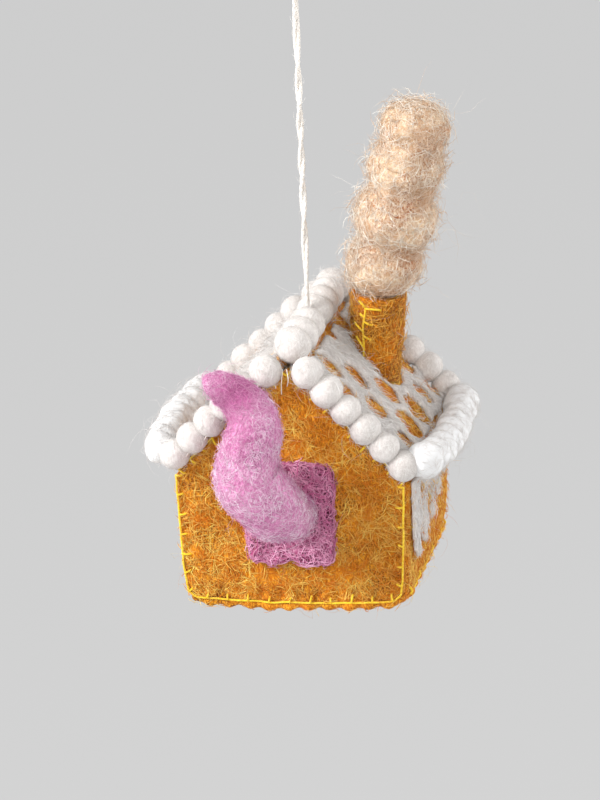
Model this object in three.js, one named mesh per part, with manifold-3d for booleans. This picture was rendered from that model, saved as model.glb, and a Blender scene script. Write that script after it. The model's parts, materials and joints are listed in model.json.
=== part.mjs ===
// Felt gable house that hangs on a doubled cotton cord.
// The house is sewn from thick felt panels over a wool filling. Hand-rolled felt balls edge the
// roof, white wool icing lies on the roof and side walls, a rolled felt chimney gives off a plume
// of loose wool, and a stuffed lilac trunk curls up from a mauve pad on the front gable.
// Lengths are millimetres, +Z is up, the front gable faces -Y, and the origin is where a hook
// bears inside the top of the hanging loop.

import * as THREE from 'three';
import { mergeVertices } from 'three/addons/utils/BufferGeometryUtils.js';
import Module from 'manifold-3d';

const wasm = await Module();
wasm.setup();

// Driving dimensions: felt house
const HOUSE_WIDTH = 78;
const HOUSE_DEPTH = 70;
const EAVE_HEIGHT = 43;
const ROOF_PITCH = THREE.MathUtils.degToRad(45);
const WALL_FELT = 3;
const FLOOR_FELT = 3;
const ROOF_FELT = 3;
const CORNER_RADIUS = 6;
const SEAM_GAP = 0.3;

// Driving dimensions: felt balls, round across a row and squeezed along it where they have to fit
const BALL_RADIUS = 5;
const RAKE_BALLS = 6;
const EAVE_BALLS = 8;
const RIDGE_FRONT_BALLS = 3;
const RIDGE_BACK_BALLS = 4;
const RAKE_FIRST = 5.4;
const RAKE_END_INSET = 5.15;
const RIDGE_INSET = 1.5;
const EAVE_INSET = 1.1;
const EAVE_OVERHANG = 1.25;

// Driving dimensions: wool icing, a flat net with lens-shaped gaps
const ICING_THICKNESS = 1.2;
const NET_ROW = 11.2;
const NET_COLUMN = 13.4;
const NET_BORDER = 2.4;
const LENS_LENGTH = 10.4;
const LENS_WIDTH = 8.4;
const WINDOW_WIDTH = 50;
const WINDOW_HEIGHT = 27;
const WINDOW_SHIFT = 3;

// Driving dimensions: chimney and its plume
const CHIMNEY_RADIUS = 9.2;
const CHIMNEY_WALL = 3;
const CHIMNEY_HEIGHT = 24.5;
const CHIMNEY_LEAN = THREE.MathUtils.degToRad(5);
const CHIMNEY_DOWN_SLOPE = 23;
const CHIMNEY_BACK = 14;
const PLUG_DEPTH = 12;
const PLUME_BASE_RADIUS = 8.6;
const PLUME_SHOULDER_RISE = 1.5;
const PLUME_SHOULDER_RADIUS = 9.6;
const PLUME_HEIGHT = 66;
const PLUME_DRIFT = 15.8;
const PLUME_RADIUS = 14;
// Swellings and waists, from the rim up: shares of the plume's height, its drift to the right and its
// largest radius
const PLUME_STATIONS = [
  { up: 0.07, right: 0.05, swell: 0.81 },
  { up: 0.16, right: 0.13, swell: 0.91 },
  { up: 0.29, right: 0.27, swell: 0.77 },
  { up: 0.41, right: 0.4, swell: 1 },
  { up: 0.555, right: 0.545, swell: 0.755 },
  { up: 0.69, right: 0.68, swell: 0.905 },
  { up: 0.8, right: 0.8, swell: 0.785 },
  { up: 0.9, right: 0.905, swell: 0.84 },
  { up: 0.967, right: 0.97, swell: 0.63 },
  { up: 1, right: 1, swell: 0.1 },
];

// Driving dimensions: front pad and trunk
const PAD_WIDTH = 29.5;
const PAD_HEIGHT = 35.4;
const PAD_THICKNESS = 4;
const PAD_ROUND = 4;
const PAD_SILL = 14.6;
const TRUNK_SEAT_HEIGHT = 20.8;
const TRUNK_SEAT_SHIFT = 2.4;
const TRUNK_SEAT_RADIUS = 7;
const TRUNK_SWAY = 22.4;
const TRUNK_REACH = 18.4;
const TRUNK_RISE = 48;
const TRUNK_RADIUS = 11;
// The trunk's centreline from its seat: shares of its sway to the left, its reach forward, its rise
// and its largest radius
const TRUNK_STATIONS = [
  { left: 0, forward: 0.36, up: 0, swell: 0.69 },
  { left: 0.13, forward: 0.7, up: 0.09, swell: 0.91 },
  { left: 0.295, forward: 0.9, up: 0.23, swell: 0.965 },
  { left: 0.47, forward: 1, up: 0.37, swell: 1 },
  { left: 0.445, forward: 0.975, up: 0.53, swell: 0.86 },
  { left: 0.37, forward: 0.92, up: 0.69, swell: 0.805 },
  { left: 0.42, forward: 0.835, up: 0.81, swell: 0.71 },
  { left: 0.63, forward: 0.815, up: 0.93, swell: 0.56 },
  { left: 0.82, forward: 0.88, up: 0.995, swell: 0.44 },
  { left: 0.925, forward: 0.925, up: 1.015, swell: 0.33 },
  { left: 1, forward: 0.94, up: 1, swell: 0.08 },
];

// Driving dimensions: hanging cord, one length doubled and tied into an eye
const CORD_DIAMETER = 1.2;
const STRAND_SPACING = 1.5;
const CORD_EXIT_Y = -2;
const KNOT_RISE = 108.5;
const KNOT_RADIUS = 2.6;
// One half of the eye, from the knot to the top: sideways from the middle, up from the knot
const EYE_ROUTE = [
  [STRAND_SPACING / 2, 0],
  [1.3, 3.2],
  [2.6, 7],
  [4.2, 11],
  [5.4, 15],
  [5.4, 18.8],
  [3.4, 22],
  [0, 23.2],
];

// Facets
const BALL_SIDES = 10;
const BALL_RINGS = 8;
const STRAND_ARC_STEPS = 5;
const ROUND_SIDES = 28;
const CORD_SIDES = 8;
const CORD_STEP = 2.6 * CORD_DIAMETER;
const LENS_SEGMENTS = 4;
const CORNER_SEGMENTS = 5;
const STUFFED_SIDES = 14;
const RINGS_PER_STATION = 3;
const WELD_DISTANCE = 1e-4;

// Places that follow from the driving dimensions
const sinPitch = Math.sin(ROOF_PITCH);
const cosPitch = Math.cos(ROOF_PITCH);
const halfWidth = HOUSE_WIDTH / 2;
const halfDepth = HOUSE_DEPTH / 2;
const apexHeight = EAVE_HEIGHT + halfWidth * Math.tan(ROOF_PITCH);
const wallFoot = FLOOR_FELT + SEAM_GAP;
const ballSeat = BALL_RADIUS + SEAM_GAP;
const pairHalf = (STRAND_SPACING + CORD_DIAMETER) / 2;

// A roof panel's own frame: u runs down the slope from the ridge, w stands out of the panel's
// underside. The underside lies one seam gap above the sloping edges of the gable walls.
function roofPoint(u, w) {
  const out = w + SEAM_GAP;
  return { x: out * sinPitch + u * cosPitch, z: apexHeight + out * cosPitch - u * sinPitch };
}

const panelTop = (CORD_DIAMETER / 2 + SEAM_GAP - SEAM_GAP * sinPitch) / cosPitch;
const ridgeLip = roofPoint(panelTop, ROOF_FELT);
const ridgeBallHeight = ridgeLip.z + Math.sqrt(ballSeat ** 2 - ridgeLip.x ** 2);
const ridgeBallU = -(ridgeBallHeight - apexHeight) * sinPitch;
const panelBottom = halfWidth / cosPitch - EAVE_INSET;
// An eave row rests on the upper edge of the panel's lower end
const eaveBallU = panelBottom + EAVE_OVERHANG;
const eaveBallW = ROOF_FELT + Math.sqrt(ballSeat ** 2 - EAVE_OVERHANG ** 2);
const eaveBall = roofPoint(eaveBallU, eaveBallW);
const panelHalfDepth = halfDepth - WALL_FELT;
const rakeBallW = BALL_RADIUS;
const rakeBallY = panelHalfDepth + Math.sqrt(ballSeat ** 2 - (rakeBallW - ROOF_FELT) ** 2);
const rakeLast = panelBottom - RAKE_END_INSET;
// The end balls of an eave row sit against the last balls of the rakes
const cornerSlant = Math.hypot(eaveBallU - rakeLast, rakeBallW - eaveBallW);
const cornerReach = Math.sqrt(Math.max((BALL_RADIUS + ballSeat) ** 2 - cornerSlant ** 2, 0));
const eaveEndY = rakeBallY - cornerReach;

const exitHeight = ridgeBallHeight + BALL_RADIUS;
const innerKnotHeight = apexHeight - KNOT_RADIUS / cosPitch;
const eyeTop = EYE_ROUTE[EYE_ROUTE.length - 1][1];
const hookHeight = exitHeight + KNOT_RISE + eyeTop - CORD_DIAMETER / 2;

// Materials
function wool(color, roughness = 0.95) {
  return new THREE.MeshStandardMaterial({ color, roughness, metalness: 0 });
}

const MUSTARD = 0xbd7c24;
const CHIMNEY_OCHRE = 0xc47a1e;
const WHITE = 0xf0eee8;
const LILAC = 0xcd96c3;
const MAUVE = 0xaa5a8c;
const SMOKE = 0xe1c8a5;
const CORD_WHITE = 0xf0ebe1;
const FILLING = 0xe9e4d8;

function piece(name, geometry, color) {
  const mesh = new THREE.Mesh(geometry, wool(color));
  mesh.name = name;
  return mesh;
}

// Turn a flat outline's extrusion to stand in the gable's plane: outline x, z, thickness towards -Y
const GABLE_BASIS = new THREE.Matrix4().makeBasis(
  new THREE.Vector3(1, 0, 0), new THREE.Vector3(0, 0, 1), new THREE.Vector3(0, -1, 0),
);
// Turn it to hang on a side wall: outline down the wall and along it, thickness towards +X
const SIDE_BASIS = new THREE.Matrix4().makeBasis(
  new THREE.Vector3(0, 0, -1), new THREE.Vector3(0, 1, 0), new THREE.Vector3(1, 0, 0),
);

function slab(shape, thickness, curveSegments = CORNER_SEGMENTS) {
  return new THREE.ExtrudeGeometry(shape, { depth: thickness, bevelEnabled: false, curveSegments });
}

function roundedRectangle(x0, y0, x1, y1, radius) {
  const shape = new THREE.Shape();
  shape.moveTo(x0 + radius, y0);
  shape.lineTo(x1 - radius, y0);
  shape.quadraticCurveTo(x1, y0, x1, y0 + radius);
  shape.lineTo(x1, y1 - radius);
  shape.quadraticCurveTo(x1, y1, x1 - radius, y1);
  shape.lineTo(x0 + radius, y1);
  shape.quadraticCurveTo(x0, y1, x0, y1 - radius);
  shape.lineTo(x0, y0 + radius);
  shape.quadraticCurveTo(x0, y0, x0 + radius, y0);
  return shape;
}

// Closed solids that are joined or cut
function toSolid(geometry) {
  const bare = new THREE.BufferGeometry();
  bare.setAttribute('position', geometry.getAttribute('position').clone());
  if (geometry.index) bare.setIndex(geometry.index.clone());
  const welded = mergeVertices(bare, WELD_DISTANCE);
  return new wasm.Manifold(new wasm.Mesh({
    numProp: 3,
    vertProperties: new Float32Array(welded.getAttribute('position').array),
    triVerts: new Uint32Array(welded.index.array),
  }));
}

function toGeometry(solid) {
  const mesh = solid.getMesh();
  const geometry = new THREE.BufferGeometry();
  geometry.setAttribute('position', new THREE.BufferAttribute(new Float32Array(mesh.vertProperties), 3));
  geometry.setIndex(new THREE.BufferAttribute(new Uint32Array(mesh.triVerts), 1));
  return geometry;
}

// A stuffed body: rings of its own radius along a smooth centreline, closed flat at both ends
function stuffedBody(stations) {
  const centreline = new THREE.CatmullRomCurve3(stations.map((s) => s.point), false, 'catmullrom');
  const swell = new THREE.SplineCurve(stations.map((s, i) => new THREE.Vector2(i, s.radius)));
  const rings = (stations.length - 1) * RINGS_PER_STATION;
  const positions = [];
  const faces = [];
  const across = new THREE.Vector3(1, 0, 0);
  for (let i = 0; i <= rings; i += 1) {
    const centre = centreline.getPoint(i / rings);
    const along = centreline.getTangent(i / rings);
    const radius = swell.getPoint(i / rings).y;
    across.addScaledVector(along, -across.dot(along)).normalize();
    const third = along.clone().cross(across);
    for (let j = 0; j < STUFFED_SIDES; j += 1) {
      const angle = (j / STUFFED_SIDES) * 2 * Math.PI;
      const rim = centre.clone();
      rim.addScaledVector(across, radius * Math.cos(angle));
      rim.addScaledVector(third, radius * Math.sin(angle));
      positions.push(rim.x, rim.y, rim.z);
    }
  }
  const at = (i, j) => i * STUFFED_SIDES + (j % STUFFED_SIDES);
  for (let i = 0; i < rings; i += 1) {
    for (let j = 0; j < STUFFED_SIDES; j += 1) {
      faces.push(at(i, j), at(i, j + 1), at(i + 1, j + 1));
      faces.push(at(i, j), at(i + 1, j + 1), at(i + 1, j));
    }
  }
  for (let j = 1; j < STUFFED_SIDES - 1; j += 1) {
    faces.push(at(0, 0), at(0, j + 1), at(0, j));
    faces.push(at(rings, 0), at(rings, j), at(rings, j + 1));
  }
  const geometry = new THREE.BufferGeometry();
  geometry.setAttribute('position', new THREE.Float32BufferAttribute(positions, 3));
  geometry.setIndex(faces);
  return geometry;
}

// Felt panels of the house
function gableShape() {
  const shape = new THREE.Shape();
  shape.moveTo(-halfWidth + CORNER_RADIUS, wallFoot);
  shape.lineTo(halfWidth - CORNER_RADIUS, wallFoot);
  shape.quadraticCurveTo(halfWidth, wallFoot, halfWidth, wallFoot + CORNER_RADIUS);
  shape.lineTo(halfWidth, EAVE_HEIGHT);
  shape.lineTo(0, apexHeight);
  shape.lineTo(-halfWidth, EAVE_HEIGHT);
  shape.lineTo(-halfWidth, wallFoot + CORNER_RADIUS);
  shape.quadraticCurveTo(-halfWidth, wallFoot, -halfWidth + CORNER_RADIUS, wallFoot);
  return shape;
}

function gableWall(name, outerY) {
  const geometry = slab(gableShape(), WALL_FELT).applyMatrix4(GABLE_BASIS);
  geometry.translate(0, outerY + (outerY < 0 ? WALL_FELT : 0), 0);
  return piece(name, geometry, MUSTARD);
}

function sideWall(name, side) {
  const length = HOUSE_DEPTH - 2 * (WALL_FELT + SEAM_GAP);
  const height = EAVE_HEIGHT - wallFoot;
  const geometry = new THREE.BoxGeometry(WALL_FELT, length, height);
  geometry.translate(side * (halfWidth - WALL_FELT / 2), 0, wallFoot + height / 2);
  return piece(name, geometry, MUSTARD);
}

function floorPanel() {
  const outline = roundedRectangle(-halfWidth, -halfDepth, halfWidth, halfDepth, CORNER_RADIUS);
  return piece('floor_panel', slab(outline, FLOOR_FELT), MUSTARD);
}

// The wool filling stops below the knot that holds the cord under the ridge
function stuffing() {
  const reach = halfWidth - WALL_FELT - SEAM_GAP;
  const top = innerKnotHeight - KNOT_RADIUS - SEAM_GAP;
  const slopeAt = (height) => (apexHeight - height) / Math.tan(ROOF_PITCH);
  const shape = new THREE.Shape();
  shape.moveTo(-reach, wallFoot);
  shape.lineTo(reach, wallFoot);
  shape.lineTo(reach, apexHeight - reach * Math.tan(ROOF_PITCH));
  shape.lineTo(slopeAt(top), top);
  shape.lineTo(-slopeAt(top), top);
  shape.lineTo(-reach, apexHeight - reach * Math.tan(ROOF_PITCH));
  shape.closePath();
  const inner = halfDepth - WALL_FELT - SEAM_GAP;
  const geometry = slab(shape, 2 * inner).applyMatrix4(GABLE_BASIS).translate(0, inner, 0);
  return piece('stuffing', geometry, FILLING);
}

// Lens-shaped gaps of the icing net, in staggered rows about the middle of a rectangle
function lensGaps(length, width, rows) {
  const gaps = [];
  const first = (length - (rows - 1) * NET_ROW) / 2;
  const reach = width / 2 - NET_BORDER - LENS_WIDTH / 2;
  const columns = Math.ceil(width / NET_COLUMN);
  for (let row = 0; row < rows; row += 1) {
    const phase = (row % 2 === 0 ? 0.25 : -0.25) * NET_COLUMN;
    for (let column = -columns; column <= columns; column += 1) {
      const across = phase + column * NET_COLUMN;
      if (Math.abs(across) <= reach) gaps.push({ down: first + row * NET_ROW, across });
    }
  }
  return gaps;
}

function lensPath(down, across) {
  const path = new THREE.Path();
  path.moveTo(down - LENS_LENGTH / 2, across);
  path.quadraticCurveTo(down, across + LENS_WIDTH, down + LENS_LENGTH / 2, across);
  path.quadraticCurveTo(down, across - LENS_WIDTH, down - LENS_LENGTH / 2, across);
  return path;
}

function netRows(length) {
  return 1 + Math.max(0, Math.floor((length - 2 * NET_BORDER - LENS_LENGTH) / NET_ROW));
}

// Roof icing in the panel's frame; a chimney on that side takes a collar out of the net
function roofIcing(name, withChimney) {
  const seat = ROOF_FELT + SEAM_GAP;
  const top = ridgeBallU + ballSeat;
  const underRow = eaveBallW - seat - ICING_THICKNESS;
  const length = eaveBallU - Math.sqrt(ballSeat ** 2 - underRow ** 2) - top;
  const half = rakeBallY - ballSeat;
  const lean = CHIMNEY_LEAN - ROOF_PITCH;
  const collarDown = CHIMNEY_RADIUS / Math.cos(lean) + LENS_LENGTH / 2 + NET_BORDER / 2;
  const collarAcross = CHIMNEY_RADIUS + LENS_WIDTH / 2 + NET_BORDER / 2;
  const clear = (gap) => !withChimney || Math.hypot(
    (top + gap.down - CHIMNEY_DOWN_SLOPE) / collarDown, (gap.across - CHIMNEY_BACK) / collarAcross,
  ) > 1;
  const outline = roundedRectangle(0, -half, length, half, NET_BORDER);
  for (const gap of lensGaps(length, 2 * half, netRows(length))) {
    if (clear(gap)) outline.holes.push(lensPath(gap.down, gap.across));
  }
  let geometry = slab(outline, ICING_THICKNESS, LENS_SEGMENTS).translate(top, 0, seat);
  if (withChimney) {
    const bore = new THREE.CylinderGeometry(
      CHIMNEY_RADIUS + SEAM_GAP, CHIMNEY_RADIUS + SEAM_GAP, 4 * CHIMNEY_RADIUS, ROUND_SIDES,
    );
    bore.rotateX(Math.PI / 2).rotateY(lean).translate(CHIMNEY_DOWN_SLOPE, CHIMNEY_BACK, seat);
    geometry = toGeometry(toSolid(geometry).subtract(toSolid(bore)));
  }
  return piece(name, geometry, WHITE);
}

function roofPanel(name) {
  const length = panelBottom - panelTop;
  const geometry = new THREE.BoxGeometry(length, 2 * panelHalfDepth, ROOF_FELT);
  geometry.translate(panelTop + length / 2, 0, ROOF_FELT / 2);
  return piece(name, geometry, MUSTARD);
}

// One slope of the roof; the left slope is the right one turned half round
function roofSlope(sideName, turn, withChimney) {
  const slope = new THREE.Group();
  slope.position.set(SEAM_GAP * sinPitch, 0, apexHeight + SEAM_GAP * cosPitch);
  slope.rotation.y = ROOF_PITCH;
  slope.add(roofPanel(`${sideName}_roof`), roofIcing(`${sideName}_roof_icing`, withChimney));
  const turned = new THREE.Group();
  turned.rotation.z = turn;
  turned.add(slope);
  return turned;
}

function windowIcing(name, side) {
  const outline = roundedRectangle(
    0, -WINDOW_WIDTH / 2, WINDOW_HEIGHT, WINDOW_WIDTH / 2, NET_BORDER,
  );
  for (const gap of lensGaps(WINDOW_HEIGHT, WINDOW_WIDTH, netRows(WINDOW_HEIGHT))) {
    outline.holes.push(lensPath(gap.down, gap.across));
  }
  const geometry = slab(outline, ICING_THICKNESS, LENS_SEGMENTS).applyMatrix4(SIDE_BASIS);
  const outer = side > 0 ? halfWidth + SEAM_GAP : -halfWidth - SEAM_GAP - ICING_THICKNESS;
  geometry.translate(outer, WINDOW_SHIFT, EAVE_HEIGHT - SEAM_GAP);
  return piece(name, geometry, WHITE);
}

// Felt balls
function ballGeometry(scaleX, scaleY) {
  const geometry = new THREE.SphereGeometry(BALL_RADIUS, BALL_SIDES, BALL_RINGS);
  return geometry.scale(scaleX / BALL_RADIUS, scaleY / BALL_RADIUS, 1);
}

function rakeBalls(house) {
  const spacing = (rakeLast - RAKE_FIRST) / (RAKE_BALLS - 1);
  const length = Math.min(spacing - SEAM_GAP, 2 * BALL_RADIUS);
  for (const [end, y] of [['front', -rakeBallY], ['back', rakeBallY]]) {
    for (const [sideName, side] of [['right', 1], ['left', -1]]) {
      for (let i = 0; i < RAKE_BALLS; i += 1) {
        const place = roofPoint(RAKE_FIRST + i * spacing, rakeBallW);
        const shape = ballGeometry(length / 2, BALL_RADIUS);
        const ball = piece(`${end}_${sideName}_ball_${i + 1}`, shape, WHITE);
        ball.position.set(side * place.x, y, place.z);
        ball.rotation.y = side * ROOF_PITCH;
        house.add(ball);
      }
    }
  }
}

// Balls from the cord out to one end of the ridge
function ridgeRow(direction, count) {
  const start = CORD_EXIT_Y + direction * (pairHalf + SEAM_GAP);
  const end = direction * (panelHalfDepth - RIDGE_INSET);
  const fitted = (Math.abs(end - start) - (count - 1) * SEAM_GAP) / (count - 0.5);
  const length = Math.min(fitted, 2 * BALL_RADIUS);
  const row = [];
  for (let i = 0; i < count; i += 1) {
    row.push({ y: start + direction * (length / 2 + i * (length + SEAM_GAP)), length });
  }
  return row;
}

function ridgeBalls(house) {
  const row = [...ridgeRow(-1, RIDGE_FRONT_BALLS).reverse(), ...ridgeRow(1, RIDGE_BACK_BALLS)];
  row.forEach(({ y, length }, i) => {
    const ball = piece(`ridge_ball_${i + 1}`, ballGeometry(BALL_RADIUS, length / 2), WHITE);
    ball.position.set(0, y, ridgeBallHeight);
    house.add(ball);
  });
}

// A row of balls along an eave, felted into one another: their arcs turned about the row's axis
function eaveBalls(name, side) {
  const spacing = (2 * eaveEndY) / (EAVE_BALLS - 1);
  const pinch = Math.asin(Math.min(spacing / 2 / BALL_RADIUS, 1));
  const profile = [];
  for (let i = 0; i < EAVE_BALLS; i += 1) {
    const start = i === 0 ? -Math.PI / 2 : -pinch;
    const stop = i === EAVE_BALLS - 1 ? Math.PI / 2 : pinch;
    for (let k = i === 0 ? 0 : 1; k <= STRAND_ARC_STEPS; k += 1) {
      const angle = start + ((stop - start) * k) / STRAND_ARC_STEPS;
      const onAxis = Math.abs(angle) >= Math.PI / 2 - WELD_DISTANCE;
      const radius = onAxis ? 0 : BALL_RADIUS * Math.cos(angle);
      profile.push(new THREE.Vector2(radius, -eaveEndY + i * spacing + BALL_RADIUS * Math.sin(angle)));
    }
  }
  const strand = piece(name, new THREE.LatheGeometry(profile, BALL_SIDES), WHITE);
  strand.position.set(side * eaveBall.x, 0, eaveBall.z);
  return strand;
}

// Chimney: a rolled felt tube whose foot is cut to the roof's slope
const chimneyFoot = roofPoint(CHIMNEY_DOWN_SLOPE, ROOF_FELT + SEAM_GAP);
const chimneyAxis = new THREE.Vector3(Math.sin(CHIMNEY_LEAN), 0, Math.cos(CHIMNEY_LEAN));
const chimneyRim = new THREE.Vector3(chimneyFoot.x, CHIMNEY_BACK, chimneyFoot.z)
  .addScaledVector(chimneyAxis, CHIMNEY_HEIGHT);

function chimney() {
  const below = -3 * CHIMNEY_RADIUS;
  const inner = CHIMNEY_RADIUS - CHIMNEY_WALL;
  const profile = [
    [inner, below],
    [CHIMNEY_RADIUS, below],
    [CHIMNEY_RADIUS, CHIMNEY_HEIGHT],
    [inner, CHIMNEY_HEIGHT],
    [inner, below],
  ].map(([radius, height]) => new THREE.Vector2(radius, height));
  const tube = new THREE.LatheGeometry(profile, ROUND_SIDES).rotateX(Math.PI / 2);
  const slope = ROOF_PITCH - CHIMNEY_LEAN;
  const block = 8 * CHIMNEY_RADIUS;
  const underRoof = new THREE.BoxGeometry(block, block, block).translate(0, 0, -block / 2).rotateY(slope);
  const mesh = piece('chimney', toGeometry(toSolid(tube).subtract(toSolid(underRoof))), CHIMNEY_OCHRE);
  mesh.position.set(chimneyFoot.x, CHIMNEY_BACK, chimneyFoot.z);
  mesh.rotation.y = CHIMNEY_LEAN;
  return mesh;
}

// Loose wool plume: a plug pushed into the chimney and a bobbled column above its rim
function smokePlume() {
  const base = chimneyRim.clone().addScaledVector(chimneyAxis, SEAM_GAP);
  const shoulder = chimneyRim.clone().addScaledVector(chimneyAxis, PLUME_SHOULDER_RISE);
  const stations = [
    { point: base, radius: PLUME_BASE_RADIUS },
    { point: shoulder, radius: PLUME_SHOULDER_RADIUS },
  ];
  for (const { up, right, swell } of PLUME_STATIONS) {
    const offset = new THREE.Vector3(right * PLUME_DRIFT, 0, up * PLUME_HEIGHT);
    stations.push({ point: chimneyRim.clone().add(offset), radius: swell * PLUME_RADIUS });
  }
  const plugRadius = CHIMNEY_RADIUS - CHIMNEY_WALL - SEAM_GAP;
  const plugLength = PLUG_DEPTH + 2 * PLUME_SHOULDER_RISE;
  const plugMiddle = chimneyRim.clone().addScaledVector(chimneyAxis, plugLength / 2 - PLUG_DEPTH);
  const plug = new THREE.CylinderGeometry(plugRadius, plugRadius, plugLength, STUFFED_SIDES);
  plug.rotateX(Math.PI / 2).rotateY(CHIMNEY_LEAN).translate(plugMiddle.x, plugMiddle.y, plugMiddle.z);
  return piece('smoke_plume', toGeometry(toSolid(stuffedBody(stations)).add(toSolid(plug))), SMOKE);
}

// Front pad and the trunk that grows out of it
function doorPad() {
  const half = PAD_WIDTH / 2;
  const outline = roundedRectangle(-half, PAD_SILL, half, PAD_SILL + PAD_HEIGHT, PAD_ROUND);
  const geometry = slab(outline, PAD_THICKNESS).applyMatrix4(GABLE_BASIS);
  return piece('door_pad', geometry.translate(0, -halfDepth - SEAM_GAP, 0), MAUVE);
}

function trunk() {
  const padFace = -halfDepth - SEAM_GAP - PAD_THICKNESS;
  const seat = new THREE.Vector3(TRUNK_SEAT_SHIFT, padFace - SEAM_GAP, PAD_SILL + TRUNK_SEAT_HEIGHT);
  const stations = [{ point: seat, radius: TRUNK_SEAT_RADIUS }];
  const reach = new THREE.Vector3(-TRUNK_SWAY, -TRUNK_REACH, TRUNK_RISE);
  for (const { left, forward, up, swell } of TRUNK_STATIONS) {
    const point = new THREE.Vector3(left, forward, up).multiply(reach).add(seat);
    stations.push({ point, radius: swell * TRUNK_RADIUS });
  }
  return piece('trunk', stuffedBody(stations), LILAC);
}

// Hanging cord
function cordAlong(points) {
  const route = new THREE.CatmullRomCurve3(points);
  const corners = [];
  for (let k = 0; k < CORD_SIDES; k += 1) {
    const angle = (k / CORD_SIDES) * 2 * Math.PI;
    const corner = new THREE.Vector2(Math.cos(angle), Math.sin(angle));
    corners.push(corner.multiplyScalar(CORD_DIAMETER / 2));
  }
  const section = new THREE.Shape(corners);
  const steps = Math.max(2, Math.ceil(route.getLength() / CORD_STEP));
  return new THREE.ExtrudeGeometry(section, { steps, bevelEnabled: false, extrudePath: route });
}

function strand(side, low, high) {
  const y = CORD_EXIT_Y + (side * STRAND_SPACING) / 2;
  return cordAlong([new THREE.Vector3(0, y, low), new THREE.Vector3(0, y, high)]);
}

function roundKnot(radius, height) {
  return new THREE.SphereGeometry(radius, CORD_SIDES + 4, CORD_SIDES).translate(0, CORD_EXIT_Y, height);
}

function fuse(geometries) {
  return toGeometry(geometries.map(toSolid).reduce((whole, next) => whole.add(next)));
}

// The knot under the ridge, with both strands up through the slit to the tops of the ridge balls
function hangerAnchor() {
  const top = exitHeight - pairHalf - SEAM_GAP;
  const strands = [-1, 1].map((side) => strand(side, innerKnotHeight, top));
  return piece('hanger_anchor', fuse([roundKnot(KNOT_RADIUS, innerKnotHeight), ...strands]), CORD_WHITE);
}

// The two free strands, drawn together at the ridge and ending under the knot of the eye
function hangerCord() {
  const top = exitHeight + KNOT_RISE - KNOT_RADIUS - SEAM_GAP;
  const strands = [-1, 1].map((side) => strand(side, exitHeight, top));
  return piece('hanger_cord', fuse([roundKnot(pairHalf, exitHeight), ...strands]), CORD_WHITE);
}

// The eye above its knot
function hangerLoop() {
  const knotHeight = exitHeight + KNOT_RISE;
  const half = (side) => EYE_ROUTE.map(
    ([sideways, up]) => new THREE.Vector3(0, CORD_EXIT_Y + side * sideways, knotHeight + up),
  );
  const route = [...half(-1), ...half(1).reverse().slice(1)];
  return piece('hanger_loop', fuse([roundKnot(KNOT_RADIUS, knotHeight), cordAlong(route)]), CORD_WHITE);
}

// Assembly
const house = new THREE.Group();
house.add(floorPanel());
house.add(gableWall('front_wall', -halfDepth), gableWall('back_wall', halfDepth));
house.add(sideWall('right_wall', 1), sideWall('left_wall', -1));
house.add(stuffing());
house.add(roofSlope('right', 0, true), roofSlope('left', Math.PI, false));
house.add(windowIcing('right_window_icing', 1), windowIcing('left_window_icing', -1));
rakeBalls(house);
ridgeBalls(house);
house.add(eaveBalls('right_eave_balls', 1), eaveBalls('left_eave_balls', -1));
house.add(chimney(), smokePlume());
house.add(doorPad(), trunk());
house.add(hangerAnchor(), hangerCord(), hangerLoop());
house.position.set(0, -CORD_EXIT_Y, -hookHeight);

const ornament = new THREE.Group();
ornament.add(house);

export default ornament;
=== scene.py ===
# %% [markdown]
# # A felt house on a string
# The ornament is a small house sewn from thick mustard felt and stuffed with wool. White felt balls
# edge its roof, white wool is laid on it like icing, a rolled felt chimney gives off a plume of loose
# wool, and a lilac trunk curls up from a mauve pad on the front. It hangs on a doubled cotton string.
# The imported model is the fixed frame: it says where each piece is and how it moves. Every piece here is
# soft, so each plain solid of the frame gets a softer piece in the same place.

import json
import math
from functools import partial

import bmesh
import bpy
import numpy as np
from mathutils import Matrix, Vector, noise


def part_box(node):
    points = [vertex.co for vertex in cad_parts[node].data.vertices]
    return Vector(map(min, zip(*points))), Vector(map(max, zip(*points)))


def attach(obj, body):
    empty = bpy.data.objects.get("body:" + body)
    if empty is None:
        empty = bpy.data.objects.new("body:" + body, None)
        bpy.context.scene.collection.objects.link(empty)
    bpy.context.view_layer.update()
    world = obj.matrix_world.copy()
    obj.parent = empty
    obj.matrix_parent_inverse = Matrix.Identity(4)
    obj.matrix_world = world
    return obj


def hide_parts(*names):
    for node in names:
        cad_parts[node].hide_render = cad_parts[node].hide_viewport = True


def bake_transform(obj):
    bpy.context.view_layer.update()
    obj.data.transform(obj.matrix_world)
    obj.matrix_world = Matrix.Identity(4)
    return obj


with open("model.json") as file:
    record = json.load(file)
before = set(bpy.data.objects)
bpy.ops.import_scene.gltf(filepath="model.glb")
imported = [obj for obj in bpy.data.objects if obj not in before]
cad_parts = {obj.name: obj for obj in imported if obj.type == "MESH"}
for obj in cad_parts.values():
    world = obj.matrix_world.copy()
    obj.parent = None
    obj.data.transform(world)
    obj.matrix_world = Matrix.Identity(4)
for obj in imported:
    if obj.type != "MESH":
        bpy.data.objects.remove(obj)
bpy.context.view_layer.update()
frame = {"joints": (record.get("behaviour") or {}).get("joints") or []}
MM = 0.001
floor_low, floor_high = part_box("floor_panel")
gable_low, gable_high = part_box("front_wall")
HALF_WIDTH = floor_high.x / MM
HALF_DEPTH = (floor_high.y - floor_low.y) / 2 / MM
APEX = (gable_high.z - floor_low.z) / MM
WALL_FOOT = (gable_low.z - floor_low.z) / MM
EAVE = APEX - HALF_WIDTH
HOUSE = Matrix.Translation((0, (floor_low.y + floor_high.y) / 2, floor_low.z)) @ Matrix.Scale(MM, 4)
SIDES = (("right", 1), ("left", -1))
ENDS = (("front", -1), ("back", 1))
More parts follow.
